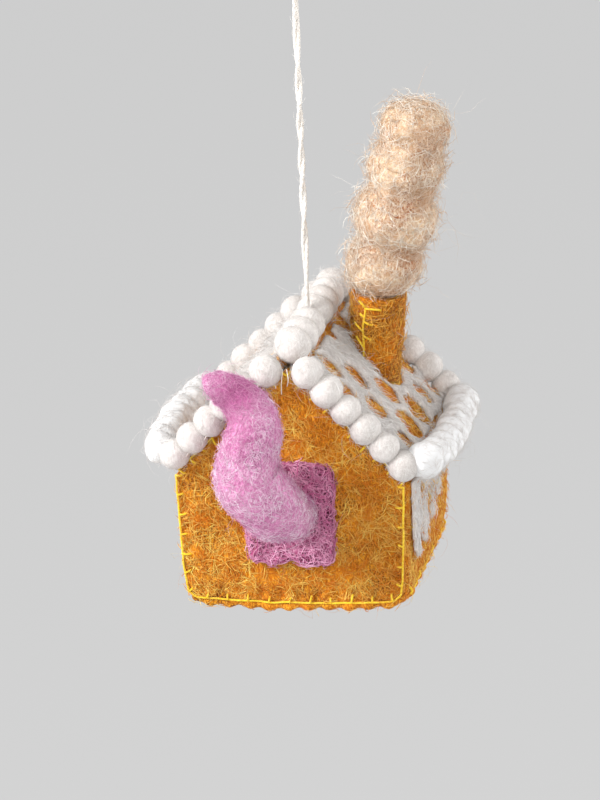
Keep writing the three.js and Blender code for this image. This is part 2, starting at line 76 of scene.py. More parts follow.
print("house", round(2 * HALF_WIDTH), "by", round(2 * HALF_DEPTH), "mm, apex at", round(APEX, 1))

# %% [markdown]
# ## Camera
# The photograph is taken from a little to the right and from above, with a long lens, and the house
# hangs a few degrees out of plumb in it. The camera is turned by that angle instead of the house.

# %% Camera at the photograph's angle
AZIMUTH, ELEVATION, ROLL = math.radians(14), math.radians(21.25), math.radians(2.4)
FOCAL_PIXELS, LONG_SIDE, SENSOR, METRES_AWAY = 2973, 800, 36, 1.0
TARGET = HOUSE @ Vector((-4.4, 0, 57.6))
right = Vector((math.cos(AZIMUTH), math.sin(AZIMUTH), 0))
level = Vector((math.sin(AZIMUTH), -math.cos(AZIMUTH), 0))
back = level * math.cos(ELEVATION) + Vector((0, 0, math.sin(ELEVATION)))
up = back.cross(right)
across = right * math.cos(ROLL) - up * math.sin(ROLL)
above = right * math.sin(ROLL) + up * math.cos(ROLL)
lens = bpy.data.cameras.new("camera")
lens.sensor_width = SENSOR
lens.lens = FOCAL_PIXELS * SENSOR / LONG_SIDE
camera = bpy.data.objects.new("camera", lens)
bpy.context.scene.collection.objects.link(camera)
turned = Matrix((across, above, back)).transposed().to_4x4()
camera.matrix_world = Matrix.Translation(TARGET + back * METRES_AWAY) @ turned
bpy.context.scene.camera = camera
bpy.context.scene.view_settings.view_transform = "Standard"
print("lens", round(lens.lens, 1), "mm")

# %% [markdown]
# ## Small helpers
# A loft joins rings of points into a closed skin, which suits the trunk, the plume, the string and the
# threads. A smooth path runs through a few chosen points. Settling turns a piece's modifiers into a
# plain mesh, because only a plain mesh may ride on the frame.


# %% Meshes from rings and paths
def mesh_piece(name, vertices, faces, *materials, edges=()):
    mesh = bpy.data.meshes.new(name)
    mesh.from_pydata([tuple(v) for v in vertices], edges, faces)
    for material in materials:
        mesh.materials.append(material)
    mesh.update()
    piece = bpy.data.objects.new(name, mesh)
    bpy.context.scene.collection.objects.link(piece)
    return piece


def smooth_path(points, per_span):
    points = np.array(points, float)
    ends = np.vstack([2 * points[0] - points[1], points, 2 * points[-1] - points[-2]])
    path = []
    for i in range(len(points) - 1):
        a, b, c, d = ends[i : i + 4]
        for k in range(per_span):
            t = k / per_span
            bend = (2 * a - 5 * b + 4 * c - d) * t**2 + (3 * b - a - 3 * c + d) * t**3
            path.append(0.5 * (2 * b + (c - a) * t + bend))
    path.append(points[-1])
    return np.array(path)


def travelling_axes(path, first):
    """Two directions square to a path at each point, without twist."""
    tangents = np.gradient(path, axis=0)
    tangents /= np.linalg.norm(tangents, axis=1)[:, None]
    side = np.array(first, float)
    sides, thirds = [], []
    for tangent in tangents:
        side = side - side @ tangent * tangent
        side /= np.linalg.norm(side)
        sides.append(side)
        thirds.append(np.cross(tangent, side))
    return np.array(sides), np.array(thirds)


def turn_angles(count):
    return 2 * math.pi * np.arange(count) / count


def tube_rings(path, radii, count, first=(1, 0, 0)):
    """A ring of points round each point of a path; a radius may differ from point to point of a ring."""
    cosines, sines = np.cos(turn_angles(count)), np.sin(turn_angles(count))
    axes = zip(path, radii, *travelling_axes(path, first))
    return [p + r * (np.outer(cosines, a) + np.outer(sines, b)) for p, r, a, b in axes]


def ring_faces(count, sides, closed=False):
    """Faces between neighbouring rings of points, and from the last ring to the first if closed."""
    faces = []
    for i in range(count if closed else count - 1):
        this, following = i * sides, (i + 1) % count * sides
        for j in range(sides):
            k = (j + 1) % sides
            faces.append((this + j, this + k, following + k, following + j))
    return faces


def loft(rings):
    """Vertices and faces of a skin over rings of points, closed at both ends by a point."""
    rings = np.array(rings)
    count, sides = rings.shape[:2]
    vertices = list(rings.reshape(-1, 3)) + [rings[0].mean(0), rings[-1].mean(0)]
    faces = ring_faces(count, sides)
    low, high, last = count * sides, count * sides + 1, (count - 1) * sides
    for j in range(sides):
        k = (j + 1) % sides
        faces += [(low, k, j), (high, last + j, last + k)]
    return vertices, faces


# %% Finishing a mesh
def settle(piece):
    depsgraph = bpy.context.evaluated_depsgraph_get()
    made = piece.evaluated_get(depsgraph)
    mesh = bpy.data.meshes.new_from_object(made, preserve_all_data_layers=True, depsgraph=depsgraph)
    piece.modifiers.clear()
    piece.data = mesh
    mesh.name = piece.name
    return piece


def smoothed(piece, rounds):
    smooth = piece.modifiers.new("smooth", "SMOOTH")
    smooth.factor = 0.5
    smooth.iterations = rounds
    return settle(piece)


def soften(piece, voxel, rounds):
    """One even skin over overlapping shapes, with its edges smoothed."""
    remesh = piece.modifiers.new("remesh", "REMESH")
    remesh.mode = "VOXEL"
    remesh.voxel_size = voxel
    remesh.use_smooth_shade = True
    return smoothed(piece, rounds)


def shade_smooth(piece):
    piece.data.polygons.foreach_set("use_smooth", [True] * len(piece.data.polygons))


def joined(name, pieces):
    with bpy.context.temp_override(active_object=pieces[0], selected_editable_objects=pieces):
        bpy.ops.object.join()
    pieces[0].name = name
    pieces[0].data.name = name
    return pieces[0]


def corners(piece):
    flat = np.empty(len(piece.data.vertices) * 3)
    piece.data.vertices.foreach_get("co", flat)
    return flat.reshape(-1, 3)


def reshape(piece, points):
    piece.data.vertices.foreach_set("co", np.asarray(points, float).ravel())
    piece.data.update()


def lumps(points, size, seed):
    """Soft unevenness between -1 and 1, with swellings of about that size."""
    shift = Vector((seed * 7.3, seed * 3.1, seed * 5.7))
    return np.array([noise.noise(Vector(p) / size + shift) for p in points])


def lumps_each_way(points, size, seed):
    return np.stack([lumps(points, size, seed + k) for k in range(3)], 1)


def rise(values, start, reach):
    """A ramp from 0 at the start to 1 after the reach; a negative reach makes it fall the other way."""
    return np.clip((np.asarray(values) - start) / reach, 0, 1)


def paint_shade_and_dye(piece, share):
    """Give each corner of a mesh its share of darkening: painted shade, mixed with uneven dye on the gable
    walls.
    """
    layer = piece.data.attributes.new("painted_shade_and_dye", "FLOAT", "POINT")
    layer.data.foreach_set("value", np.clip(share, 0, 1).astype(np.float32))


def triangles(piece):
    piece.data.calc_loop_triangles()
    return len(piece.data.loop_triangles)


# %% [markdown]
# ## Wool in two finishes
# Felt is a mat of short wool fibres. From near, its colour changes from fibre to fibre, with dark hollows
# between them. A shader group gives that mat its colour and its small relief: stretched noise in three
# directions makes the streaks, and slow noise makes the cloudy patches of hand-dyed wool. The same streak
# value raises the relief and lightens the colour, so the hollows of the relief carry painted shade and its
# ridges a painted highlight. Real fibres of thin mesh lie on the mat, and a second group colours them by a
# random tone that each one carries, duller in broad areas where a material asks for it. A mesh may also
# carry a darkening value, which darkens mat and fibres in the same place. It is painted shade: in the folds
# of the smoke, on the pad beside the trunk, on the trunk's upper bend and on the eave rows, and on the
# gable walls painted shade mixed with uneven dye.


# %% Nodes
def add(tree, kind, sockets=None, **settings):
    """A node. Each socket gets a value, a link from another socket or one from a node's first output."""
    node = tree.nodes.new(kind)
    for setting, value in settings.items():
        setattr(node, setting, value)
    for socket, source in (sockets or {}).items():
        if isinstance(source, bpy.types.Node):
            source = source.outputs[0]
        if isinstance(source, bpy.types.NodeSocket):
            tree.links.new(source, node.inputs[socket])
        else:
            node.inputs[socket].default_value = source
    return node


def math_node(tree, operation, a, b):
    return add(tree, "ShaderNodeMath", {0: a, 1: b}, operation=operation).outputs[0]


def vector_node(tree, operation, a, b):
    second = "Scale" if operation == "SCALE" else 1
    return add(tree, "ShaderNodeVectorMath", {0: a, second: b}, operation=operation).outputs[0]


def draw_number(tree, low, high, seed, each=None):
    """A random number for each fibre, point or ball."""
    sockets = {2: low, 3: high, 8: seed}
    if each is not None:
        sockets[7] = each
    return add(tree, "FunctionNodeRandomValue", sockets).outputs[1]


def for_tree(tree):
    return (partial(make, tree) for make in (add, math_node, vector_node, draw_number))


def blended(tree, share, low, high):
    return add(tree, "ShaderNodeMix", {"Factor": share, 6: low, 7: high}, data_type="RGBA").outputs[2]


def node_group(name, kind, inputs, outputs):
    tree = bpy.data.node_groups.new(name, kind)
    for in_out, sockets in (("INPUT", inputs), ("OUTPUT", outputs)):
        for label, value in sockets.items():
            tree.interface.new_socket(label, in_out=in_out, socket_type=f"NodeSocket{value}")
    return tree, tree.nodes.new("NodeGroupInput").outputs, tree.nodes.new("NodeGroupOutput").inputs


# %% Shader groups for the mat and for single fibres
mat, given, made = node_group(
    "wool_mat", "ShaderNodeTree",
    {
        "Dark": "Color", "Middle": "Color", "Light": "Color",
        "Streaks per metre": "Float", "Patches per metre": "Float",
    },
    {"Colour": "Color", "Relief": "Float"},
)
node, maths, _, _ = for_tree(mat)
where = node("ShaderNodeTexCoord").outputs["Object"]
streak = 0.0
for turn in ((0.3, 0.2, 0.5), (1.2, 0.7, 2.1), (0.5, 1.9, 3.7)):
    laid = node("ShaderNodeMapping", {"Vector": where, "Rotation": turn, "Scale": (1, 1, 0.45)})
    grain = node(
        "ShaderNodeTexNoise",
        {"Vector": laid, "Scale": given["Streaks per metre"], "Detail": 2.0, "Roughness": 0.6},
    )
    streak = maths("MAXIMUM", streak, grain)
# Painted shade and highlight: the streak value both lightens the colour and raises the relief, so the low
# parts of the relief are darker.
sharp = node("ShaderNodeMapRange", {"Value": streak, "From Min": 0.5, "From Max": 0.72})
cloud = node("ShaderNodeTexNoise", {"Vector": where, "Scale": given["Patches per metre"], "Detail": 3.0})
patch = node("ShaderNodeMapRange", {"Value": cloud, "From Min": 0.3, "From Max": 0.68})
topped = blended(mat, sharp, blended(mat, patch, given["Dark"], given["Middle"]), given["Light"])
# Painted shade: the darkening value that the mesh carries pulls the mat's colour towards Dark.
painted_shade_and_dye = node("ShaderNodeAttribute", attribute_name="painted_shade_and_dye").outputs["Fac"]
mat.links.new(blended(mat, painted_shade_and_dye, topped, given["Dark"]), made["Colour"])
mat.links.new(sharp.outputs[0], made["Relief"])

strand_tone, given, made = node_group(
    "fibre_tone", "ShaderNodeTree", {"Dark": "Color", "Light": "Color", "Shade": "Float"}, {"Colour": "Color"}
)
node, maths, _, _ = for_tree(strand_tone)
drawn = node("ShaderNodeAttribute", attribute_name="tone").outputs["Fac"]
where = node("ShaderNodeTexCoord").outputs["Object"]
cloud = node("ShaderNodeTexNoise", {"Vector": where, "Scale": 105.0, "Detail": 2.0})
dull = node(
    "ShaderNodeMapRange", {"Value": cloud, "From Min": 0.36, "From Max": 0.58, "To Min": 1.0, "To Max": 0.0}
)
tone = maths("SUBTRACT", drawn, maths("MULTIPLY", dull, given["Shade"]))
# Painted shade: the same darkening value pulls the fibres' colour towards Dark.
painted_shade_and_dye = node("ShaderNodeAttribute", attribute_name="painted_shade_and_dye").outputs["Fac"]
own = blended(strand_tone, tone, given["Dark"], given["Light"])
strand_tone.links.new(blended(strand_tone, painted_shade_and_dye, own, given["Dark"]), made["Colour"])
print("groups", mat.name, strand_tone.name)


# %% Materials
def linear(colour):
    """A colour written as it looks on screen, from 0 to 255."""
    parts = [c / 255 for c in colour]
    return tuple(((c + 0.055) / 1.055) ** 2.4 if c > 0.04 else c / 12.92 for c in parts) + (1.0,)


def woollen(name, group, values, roughness, sheen):
    material = bpy.data.materials.new(name)
    material.use_nodes = True
    tree = material.node_tree
    surface = tree.nodes["Principled BSDF"]
    looks = {"Roughness": roughness, "Specular IOR Level": 0.2, "Sheen Weight": sheen, "Sheen Roughness": 0.6}
    for label, value in looks.items():
        surface.inputs[label].default_value = value
    look = add(tree, "ShaderNodeGroup", values, node_tree=group)
    tree.links.new(look.outputs["Colour"], surface.inputs["Base Color"])
    return material, tree, look, surface


def matted(name, dark, middle, light, streaks=1500, patches=90, relief=0.0004):
    values = {"Dark": linear(dark), "Middle": linear(middle), "Light": linear(light)}
    values.update({"Streaks per metre": streaks, "Patches per metre": patches})
    material, tree, look, surface = woollen(name, mat, values, roughness=0.95, sheen=0.06)
    bump = add(
        tree, "ShaderNodeBump", {"Strength": 0.6, "Distance": relief, "Height": look.outputs["Relief"]}
    )
    tree.links.new(bump.outputs["Normal"], surface.inputs["Normal"])
    return material


def loose(name, dark, light, shade=0.0):
    values = {"Dark": linear(dark), "Light": linear(light), "Shade": shade}
    return woollen(name, strand_tone, values, roughness=0.7, sheen=0.05)[0]


MUSTARD = matted("mustard_felt", (90, 36, 0), (206, 117, 7), (252, 174, 42))
MUSTARD_FIBRE = loose("mustard_fibre", (212, 119, 7), (255, 230, 118), 0.4)
OCHRE = matted("chimney_felt", (84, 34, 0), (192, 102, 2), (240, 150, 20))
OCHRE_FIBRE = loose("chimney_fibre", (140, 66, 0), (255, 200, 84))
WHITE = matted("white_wool", (198, 191, 186), (213, 207, 203), (226, 222, 218), patches=160, relief=0.0001)
WHITE_FIBRE = loose("white_fibre", (206, 200, 196), (246, 244, 242))
SMOKE = matted("smoke_wool", (154, 95, 58), (213, 178, 140), (242, 226, 200), patches=110, relief=0.0001)
SMOKE_FIBRE = loose("smoke_fibre", (202, 160, 120), (255, 253, 244))
LILAC = matted("lilac_wool", (160, 76, 126), (222, 142, 188), (246, 186, 224), relief=0.0002)
LILAC_FIBRE = loose("lilac_fibre", (206, 120, 172), (255, 250, 255), 0.3)
MAUVE = matted("mauve_wool", (48, 0, 18), (126, 42, 82), (196, 100, 146))
MAUVE_FIBRE = loose("mauve_fibre", (192, 82, 136), (255, 200, 228))
COTTON = matted(
    "cotton_string", (222, 210, 196), (244, 239, 232), (253, 251, 248), streaks=2400, relief=0.0002
)
COTTON_FIBRE = loose("cotton_fibre", (232, 224, 214), (255, 253, 250))
THREAD = matted("yellow_thread", (214, 156, 8), (244, 202, 30), (255, 232, 90), streaks=3200, relief=0.0001)
FILLING = matted("wool_filling", (214, 208, 196), (228, 222, 212), (240, 236, 228))
print("materials", len(bpy.data.materials))

# %% [markdown]
# ## The string
# One length of soft two-ply cotton string is doubled: it comes up out of the ridge, is tied into an eye for
# the hook, and goes back down beside itself. The two runs wind slowly round each other, as they do when a
# thing hangs from them. A tube follows the whole route, with two lobes that turn along it for the plies.

# %% String, its eye and its knots
STRING, APART, PLY_PITCH, STRING_SIDES = 1.3, 1.15, 5, 12
WINDS, RUN_POINTS = 3, 60
EYE_HALF = [(0.575, 0), (1.3, 3.2), (2.6, 7), (4.2, 11), (5.4, 15), (5.4, 18.8), (3.4, 22), (0, 23.2)]
KNOT_RADIUS, KNOT_POINTS, KNOT_LIFT = 2.3, 64, 2.6
knot_z, exit_z = (joint["pos_m"][2] / MM for joint in frame["joints"][:2])


def run_up(start_angle):
    """One run of the pair from the ridge to the knot, winding round the other; the ends stay side by side."""
    points = []
    for k in range(RUN_POINTS):
        t = k / RUN_POINTS
        angle = start_angle + 2 * math.pi * WINDS * (t * t * (3 - 2 * t))
        x, y = APART / 2 * math.cos(angle), APART / 2 * math.sin(angle)
        points.append((x, y, exit_z + t * (knot_z - exit_z)))
    return points


def twisted_string(name, route, diameter):
    steps = np.linalg.norm(np.diff(route, axis=0), axis=1)
    along = np.concatenate([[0], np.cumsum(steps)])
    angles = turn_angles(STRING_SIDES)
    lobes = [0.8 + 0.2 * np.abs(np.cos(angles - 2 * math.pi * s / (PLY_PITCH * MM))) for s in along]
    radii = [diameter / 2 * lobe[:, None] for lobe in lobes]
    return mesh_piece(name, *loft(tube_rings(route, radii, STRING_SIDES)), COTTON)


def tied_knot(name, height):
    """An overhand knot: a short length of string wound into a trefoil lump."""
    loops = []
    for k in range(KNOT_POINTS):
        t = 2 * math.pi * k / (KNOT_POINTS - 1)
        wide = 0.62 + 0.3 * math.cos(3 * t)
        spot = Vector((wide * math.cos(2 * t), wide * math.sin(2 * t), 0.55 * math.sin(3 * t)))
        loops.append(spot * KNOT_RADIUS + Vector((0, 0, height)))
    return twisted_string(name, np.array(loops) * MM, 0.95 * STRING * MM)


half_eye = [(0, y, knot_z + z) for y, z in EYE_HALF]
there = run_up(-math.pi / 2) + [(x, -y, z) for x, y, z in half_eye]
again = half_eye[::-1][1:] + run_up(math.pi / 2)[::-1]
string_route = smooth_path(there + again, 8) * MM
string = twisted_string("hanging_string", string_route, STRING * MM)
string_length = float(np.linalg.norm(np.diff(string_route, axis=0), axis=1).sum())
print("string", round(string_length / MM), "mm long", triangles(string), "triangles")

eye_knot = tied_knot("eye_knot", knot_z)
anchor_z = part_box("hanger_anchor")[0].z / MM + KNOT_LIFT
anchor_parts = []
for side in (-1, 1):
    y = side * APART / 2
    run = smooth_path([(0, y, anchor_z), (0, y, exit_z - 6), (0, y, exit_z)], 12) * MM
    anchor_parts.append(twisted_string("anchor_run", run, STRING * MM))
anchor_parts.append(tied_knot("anchor_knot", anchor_z))
anchor = joined("string_anchor", anchor_parts)
print("anchor", triangles(anchor), "triangles")

# %% [markdown]
# ## Loose fibres
# Each felt surface carries fibres that lie on it in every direction, and a few that stand off and make the
# soft halo of wool. A particle system would vanish on export, so Geometry Nodes lay real mesh: points on
# the surface, a short line at each, bent by noise, drawn back to the surface, and given a thin body that
# tapers at both ends. The stand-off grows towards one end, and only the few fibres with a high draw get
# much. The same tree then lays a thin second layer of longer stray hairs.


# %% Fibre tree
def geometry_tree(name, inputs):
    return node_group(name, "GeometryNodeTree", {"Geometry": "Geometry", **inputs}, {"Geometry": "Geometry"})


def end_tree(tree, shape, given, made):
    """The end that all trees share: smooth shading, plain geometry and one material."""
    rounded = add(tree, "GeometryNodeSetShadeSmooth", {"Geometry": shape})
    whole = add(tree, "GeometryNodeRealizeInstances", {"Geometry": rounded})
    painted = add(tree, "GeometryNodeSetMaterial", {"Geometry": whole, "Material": given["Material"]})
    tree.links.new(painted.outputs[0], made[0])
    print(tree.name, "tree", len(tree.nodes), "nodes")


fibres, given, made = geometry_tree("loose_fibres", {
    "Per square metre": "Float", "Length": "Float", "Thickness": "Float", "Curl": "Float",
    "Curls per metre": "Float", "Stand-off": "Float", "Spread": "Float", "Points": "Int",
    "Facing": "Vector", "Comb": "Vector", "Clumps per metre": "Float", "Bare": "Float",
    "Seed": "Int", "Material": "Material",
})
node, maths, vectors, draw = for_tree(fibres)
seeds = [maths("ADD", given["Seed"], k) for k in range(6)]
normal = node("GeometryNodeInputNormal")
position = node("GeometryNodeInputPosition")

# Points on the outer side of the surface, except in the hollows between clumps
facing = node("ShaderNodeVectorMath", {0: normal, 1: given["Facing"]}, operation="DOT_PRODUCT")
outside = node("FunctionNodeCompare", {0: facing.outputs["Value"], 1: -0.3}, operation="GREATER_THAN")
spots = node("GeometryNodeDistributePointsOnFaces", {
    "Mesh": given["Geometry"], "Selection": outside,
    "Density": given["Per square metre"], "Seed": given["Seed"],
})
clump = node("ShaderNodeTexNoise", {"Vector": position, "Scale": given["Clumps per metre"], "Detail": 2.0})
hollow = node("FunctionNodeCompare", {0: clump, 1: given["Bare"]}, operation="LESS_THAN")
kept_normal = node(
    "GeometryNodeStoreNamedAttribute",
    {"Geometry": spots, "Name": "stands", "Value": spots.outputs["Normal"]},
    data_type="FLOAT_VECTOR", domain="POINT",
)
tufts = node("GeometryNodeDeleteGeometry", {"Geometry": kept_normal, "Selection": hollow}, domain="POINT")

# A line at each point, flat on the surface and turned at random from the combed direction
stored_normal = node("GeometryNodeInputNamedAttribute", {"Name": "stands"}, data_type="FLOAT_VECTOR")
combed = node(
    "FunctionNodeAxesToRotation", {"Primary Axis": stored_normal, "Secondary Axis": given["Comb"]},
    primary_axis="Z", secondary_axis="X",
)
swerve = maths("MULTIPLY", draw(-1, 1, seeds[0]), given["Spread"])
turn = node("FunctionNodeAxisAngleToRotation", {"Axis": (0, 0, 1), "Angle": swerve})
lie = node("FunctionNodeRotateRotation", {"Rotation": combed, "Rotate By": turn}, rotation_space="LOCAL")
line = node("GeometryNodeCurvePrimitiveLine", {"Start": (-0.5, 0, 0), "End": (0.5, 0, 0)})
jointed = node("GeometryNodeResampleCurve", {"Curve": line, "Count": given["Points"]})
length = maths("MULTIPLY", draw(0.5, 1.4, seeds[1]), given["Length"])
laid = node(
    "GeometryNodeInstanceOnPoints", {"Points": tufts, "Instance": jointed, "Rotation": lie, "Scale": length}
)
lines = node("GeometryNodeRealizeInstances", {"Geometry": laid})
which = node("GeometryNodeCurveOfPoint")
toned = node(
    "GeometryNodeStoreNamedAttribute", {"Geometry": lines, "Name": "tone", "Value": draw(0, 1, seeds[2])},
    data_type="FLOAT", domain="CURVE",
)

# The line bent by noise, drawn back to the surface and lifted towards its free end
apart = node(
    "FunctionNodeRandomValue", {0: (-1, -1, -1), 1: (1, 1, 1), 7: which, 8: seeds[3]},
    data_type="FLOAT_VECTOR",
)
bend = node(
    "ShaderNodeTexNoise",
    {"Vector": vectors("ADD", position, apart), "Scale": given["Curls per metre"], "Detail": 1.0},
).outputs["Color"]
shift = vectors("SCALE", vectors("SUBTRACT", bend, (0.5, 0.5, 0.5)), given["Curl"])
wandered = vectors("ADD", position, shift)
near = node(
    "GeometryNodeProximity", {"Geometry": given["Geometry"], "Sample Position": wandered},
    target_element="FACES",
)
outward = node(
    "GeometryNodeSampleNearestSurface",
    {"Mesh": given["Geometry"], "Value": normal, "Sample Position": wandered}, data_type="FLOAT_VECTOR",
)
along = node("GeometryNodeSplineParameter")
chance = maths("POWER", draw(0, 1, seeds[4], which), 4)
arch = maths("MULTIPLY", along, maths("SUBTRACT", 1, along))
rising = maths("MULTIPLY", maths("ADD", arch, maths("POWER", along, 2)), chance)
lying = maths("MULTIPLY", given["Thickness"], 0.3)
lift = maths("ADD", maths("MULTIPLY", rising, given["Stand-off"]), lying)
rested = vectors("ADD", near, vectors("SCALE", outward, lift))
bent = node("GeometryNodeSetPosition", {"Geometry": toned, "Position": rested})

# A thin three-sided body that tapers to both ends
middle = maths("SUBTRACT", maths("MULTIPLY", along, 2), 1)
taper = maths("SUBTRACT", 1, maths("MULTIPLY", maths("POWER", middle, 2), 0.85))
stout = maths("MULTIPLY", draw(0.25, 0.65, seeds[5], which), given["Thickness"])
section = node("GeometryNodeCurvePrimitiveCircle", {"Resolution": 3, "Radius": 1.0})
bodies = node("GeometryNodeCurveToMesh", {
    "Curve": bent, "Profile Curve": section, "Scale": maths("MULTIPLY", taper, stout), "Fill Caps": True,
})
end_tree(fibres, bodies, given, made)


# %% Use of a tree
def run_tree(piece, tree, values):
    """Set a tree's named inputs on a piece and turn what it makes into a plain mesh."""
    modifier = piece.modifiers.new(tree.name, "NODES")
    modifier.node_group = tree
    for item in tree.interface.items_tree:
        if item.item_type == "SOCKET" and item.in_out == "INPUT" and item.name in values:
            modifier[item.identifier] = values[item.name]
    return settle(piece)


STRAY = {
    "Per square metre": 0.05 / MM**2, "Length": 9 * MM, "Thickness": 0.07 * MM, "Curl": 6 * MM,
    "Curls per metre": 160.0, "Points": 7, "Bare": 0.0,
}
STRAY_SEED, STRAY_RISE = 500, 4


def felted(piece, material, seed, per_mm2, length, thickness, curl, stand_off, hairs=True, **more):
    """Lay loose fibres, measured in mm, and a few long stray hairs on a piece and join them to it."""
    values = {
        "Per square metre": per_mm2 / MM**2, "Length": length * MM, "Thickness": thickness * MM,
        "Curl": curl * MM, "Stand-off": stand_off * MM, "Curls per metre": 260.0, "Spread": math.pi,
        "Points": 4, "Facing": (0, 0, 0), "Comb": (0.3, 0.2, 0.9), "Clumps per metre": 420.0, "Bare": 0.0,
        "Seed": seed, "Material": material, **more,
    }
    layers = [values]
    if hairs:
        stray = {"Stand-off": STRAY_RISE * stand_off * MM, "Seed": seed + STRAY_SEED}
        layers.append({**values, **STRAY, **stray})
    laid = []
    for layer in layers:
        fuzz = piece.copy()
        fuzz.data = piece.data.copy()
        bpy.context.scene.collection.objects.link(fuzz)
        laid.append(run_tree(fuzz, fibres, layer))
    piece = joined(piece.name, [piece] + laid)
    print(piece.name, triangles(piece), "triangles")
    return piece


def dressed(piece, slot, *nodes, body="house"):
    """Put a finished piece in the frame in place of the plain solids it stands for."""
    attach(piece, body)
    if nodes:
        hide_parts(*nodes)
    return piece


# %% String in the frame
string = felted(
    string, COTTON_FIBRE, seed=3, per_mm2=0.9, length=3, thickness=0.08, curl=1.2, stand_off=1.6,
    hairs=False,
)
dressed(anchor, "cotton_cord", "hanger_anchor")
dressed(eye_knot, "cotton_cord", body="hanger")
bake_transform(string)
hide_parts("hanger_cord", "hanger_loop")

# %% [markdown]
# ## Felt panels
# The walls, floor and roof are cut from thick felt and pulled over the filling, so they have round edges, a
# slight swell and small puckers where the thread draws the felt in. Each panel starts as its flat cut
# outline with the felt's thickness, gets an even skin, and is then pushed by a few rules: a swell in the
# middle, lumps, and a dent at each stitch. The panel is made lying flat and then stood in its place.

# %% Rules for panels
FELT, STITCH, CORNER_STEPS = 3, 6.8, 6
FOOT_STITCHES = [-33 + STITCH * k for k in range(10)]
SIDE_STITCHES = [WALL_FOOT + 8 + STITCH * k for k in range(5)]
FINE = {"Curls per metre": 380.0, "Clumps per metre": 620.0}


def flat_panel(name, outline, thickness, material, voxel=0.8, rounds=4):
    count = len(outline)
    vertices = [(a, b, c) for c in (0, thickness) for a, b in outline]
    faces = [tuple(range(count))[::-1], tuple(range(count, 2 * count))]
    for i in range(count):
        k = (i + 1) % count
        faces.append((i, k, count + k, count + i))
    return soften(mesh_piece(name, vertices, faces, material), voxel, rounds)


def rounded_outline(a0, b0, a1, b1, radius):
    outline = []
    for a, b, start in ((a1, b0, -90), (a1, b1, 0), (a0, b1, 90), (a0, b0, 180)):
        centre = (a - radius if a == a1 else a + radius, b - radius if b == b1 else b + radius)
        for k in range(CORNER_STEPS + 1):
            angle = math.radians(start + 90 * k / CORNER_STEPS)
            outline.append((centre[0] + radius * math.cos(angle), centre[1] + radius * math.sin(angle)))
    return outline


def stand(piece, origin, a_axis, b_axis, c_axis):
    """Move a flat panel to its place: its own a, b and c axes become directions in the house."""
    axes = Matrix((a_axis, b_axis, c_axis)).transposed().to_4x4()
    piece.data.transform(HOUSE @ Matrix.Translation(origin) @ axes)
    piece.data.update()


def uneven(points, thickness, seed, swell=0.0, middle=(0, 0), reach=(1, 1)):
    """Swell the outer side of a flat panel and give it the unevenness of hand-cut felt."""
    a, b, c = points.T
    away_a = rise(np.abs(a - middle[0]), 0, reach[0])
    away_b = rise(np.abs(b - middle[1]), 0, reach[1])
    dome = (1 - away_a**2) * (1 - away_b**2)
    rough = 0.7 * lumps(points, 9, seed) + 0.3 * lumps(points, 2.8, seed + 1)
    c += rise(c, 0, thickness) * (swell * dome + rough)
    a += 0.35 * lumps(points, 7, seed + 2)
    b += 0.35 * lumps(points, 7, seed + 3)
    return points


def pucker(points, dents, depth, reach):
    """Draw the felt in at each stitch."""
    a, b, c = points.T
    for dent_a, dent_b in dents:
        near = np.exp(-((a - dent_a) ** 2 + (b - dent_b) ** 2) / reach**2)
        c -= depth * near * rise(c, 0, FELT)
    return points


def foot_line(x, y):
    """Height of the sewn lower edge: hand-made, so it slopes a little and bows down under the filling."""
    t = np.clip(np.asarray(x) / HALF_WIDTH, -1, 1)
    slope = 1.1 - 0.7 * np.asarray(y) / HALF_DEPTH
    return 0.5 + slope * t - 1.8 * (1 - t**2) * (np.abs(y) / HALF_DEPTH) ** 2


def lean_in(z):
    """How far the walls draw in towards the floor."""
    return 1.3 * rise(z, EAVE, -EAVE)


def drawn_down(points, x, y):
    """Stretch the lowest part of a wall to the sewn edge."""
    low = rise(points[:, 1], WALL_FOOT + 20, -20) ** 1.5
    points[:, 1] += low * (foot_line(x, y) - WALL_FOOT)
    return points


# %% Gable walls
CORNER, GABLE_MIDDLE, DENT, FRONT_TUCK = 4.5, 34, 1.5, 1.2


def gable(name, end):
    front = end < 0
    outline = rounded_outline(-HALF_WIDTH, WALL_FOOT, HALF_WIDTH, EAVE, CORNER)
    corner = CORNER_STEPS + 1
    outline = outline[-corner:] + outline[:corner]
    outline += [(HALF_WIDTH, EAVE), (0, APEX), (-HALF_WIDTH, EAVE)]
    piece = flat_panel(name, outline, FELT, MUSTARD, rounds=5)
    reach = (HALF_WIDTH, GABLE_MIDDLE)
    points = uneven(corners(piece), FELT, 4 if front else 9, swell=0.9, middle=(0, GABLE_MIDDLE), reach=reach)
    dents = [(x, WALL_FOOT + 2.6) for x in FOOT_STITCHES]
    dents += [(s * (HALF_WIDTH - 2.4), z) for s in (-1, 1) for z in SIDE_STITCHES]
    a, b, _ = pucker(points, dents, depth=DENT, reach=DENT).T
    # Painted shade mixed with uneven dye: cloudy darkening towards the panel's lower right, which on the
    # front wall stands in for the trunk's soft shadow.
    cloudy = 0.5 + 0.5 * lumps(points, 13, 6 if front else 8)
    paint_shade_and_dye(piece, 0.4 * cloudy * rise(a, 8, 22) * rise(b, 56, -14))
    a -= lean_in(b) * a / HALF_WIDTH
    if front:
        a -= FRONT_TUCK * rise(a, 0, HALF_WIDTH) ** 2
    reshape(piece, drawn_down(points, -end * a, end * HALF_DEPTH))
    stand(piece, (0, end * (HALF_DEPTH - FELT), 0), (-end, 0, 0), (0, 0, 1), (0, end, 0))
    return felted(
        piece, MUSTARD_FIBRE, seed=11 if front else 12, per_mm2=1.45 if front else 0.6, length=5,
        thickness=0.26, curl=2.8, stand_off=2.0, Facing=(0, end, 0), Bare=0.45, **FINE,
    )


for label, end in ENDS:
    dressed(gable(f"{label}_wall_felt", end), "mustard_felt", f"{label}_wall")

# %% Side walls
SIDE_HALF, HEM, HEM_WAVE = HALF_DEPTH - 3.3, 7, 1.7 * STITCH


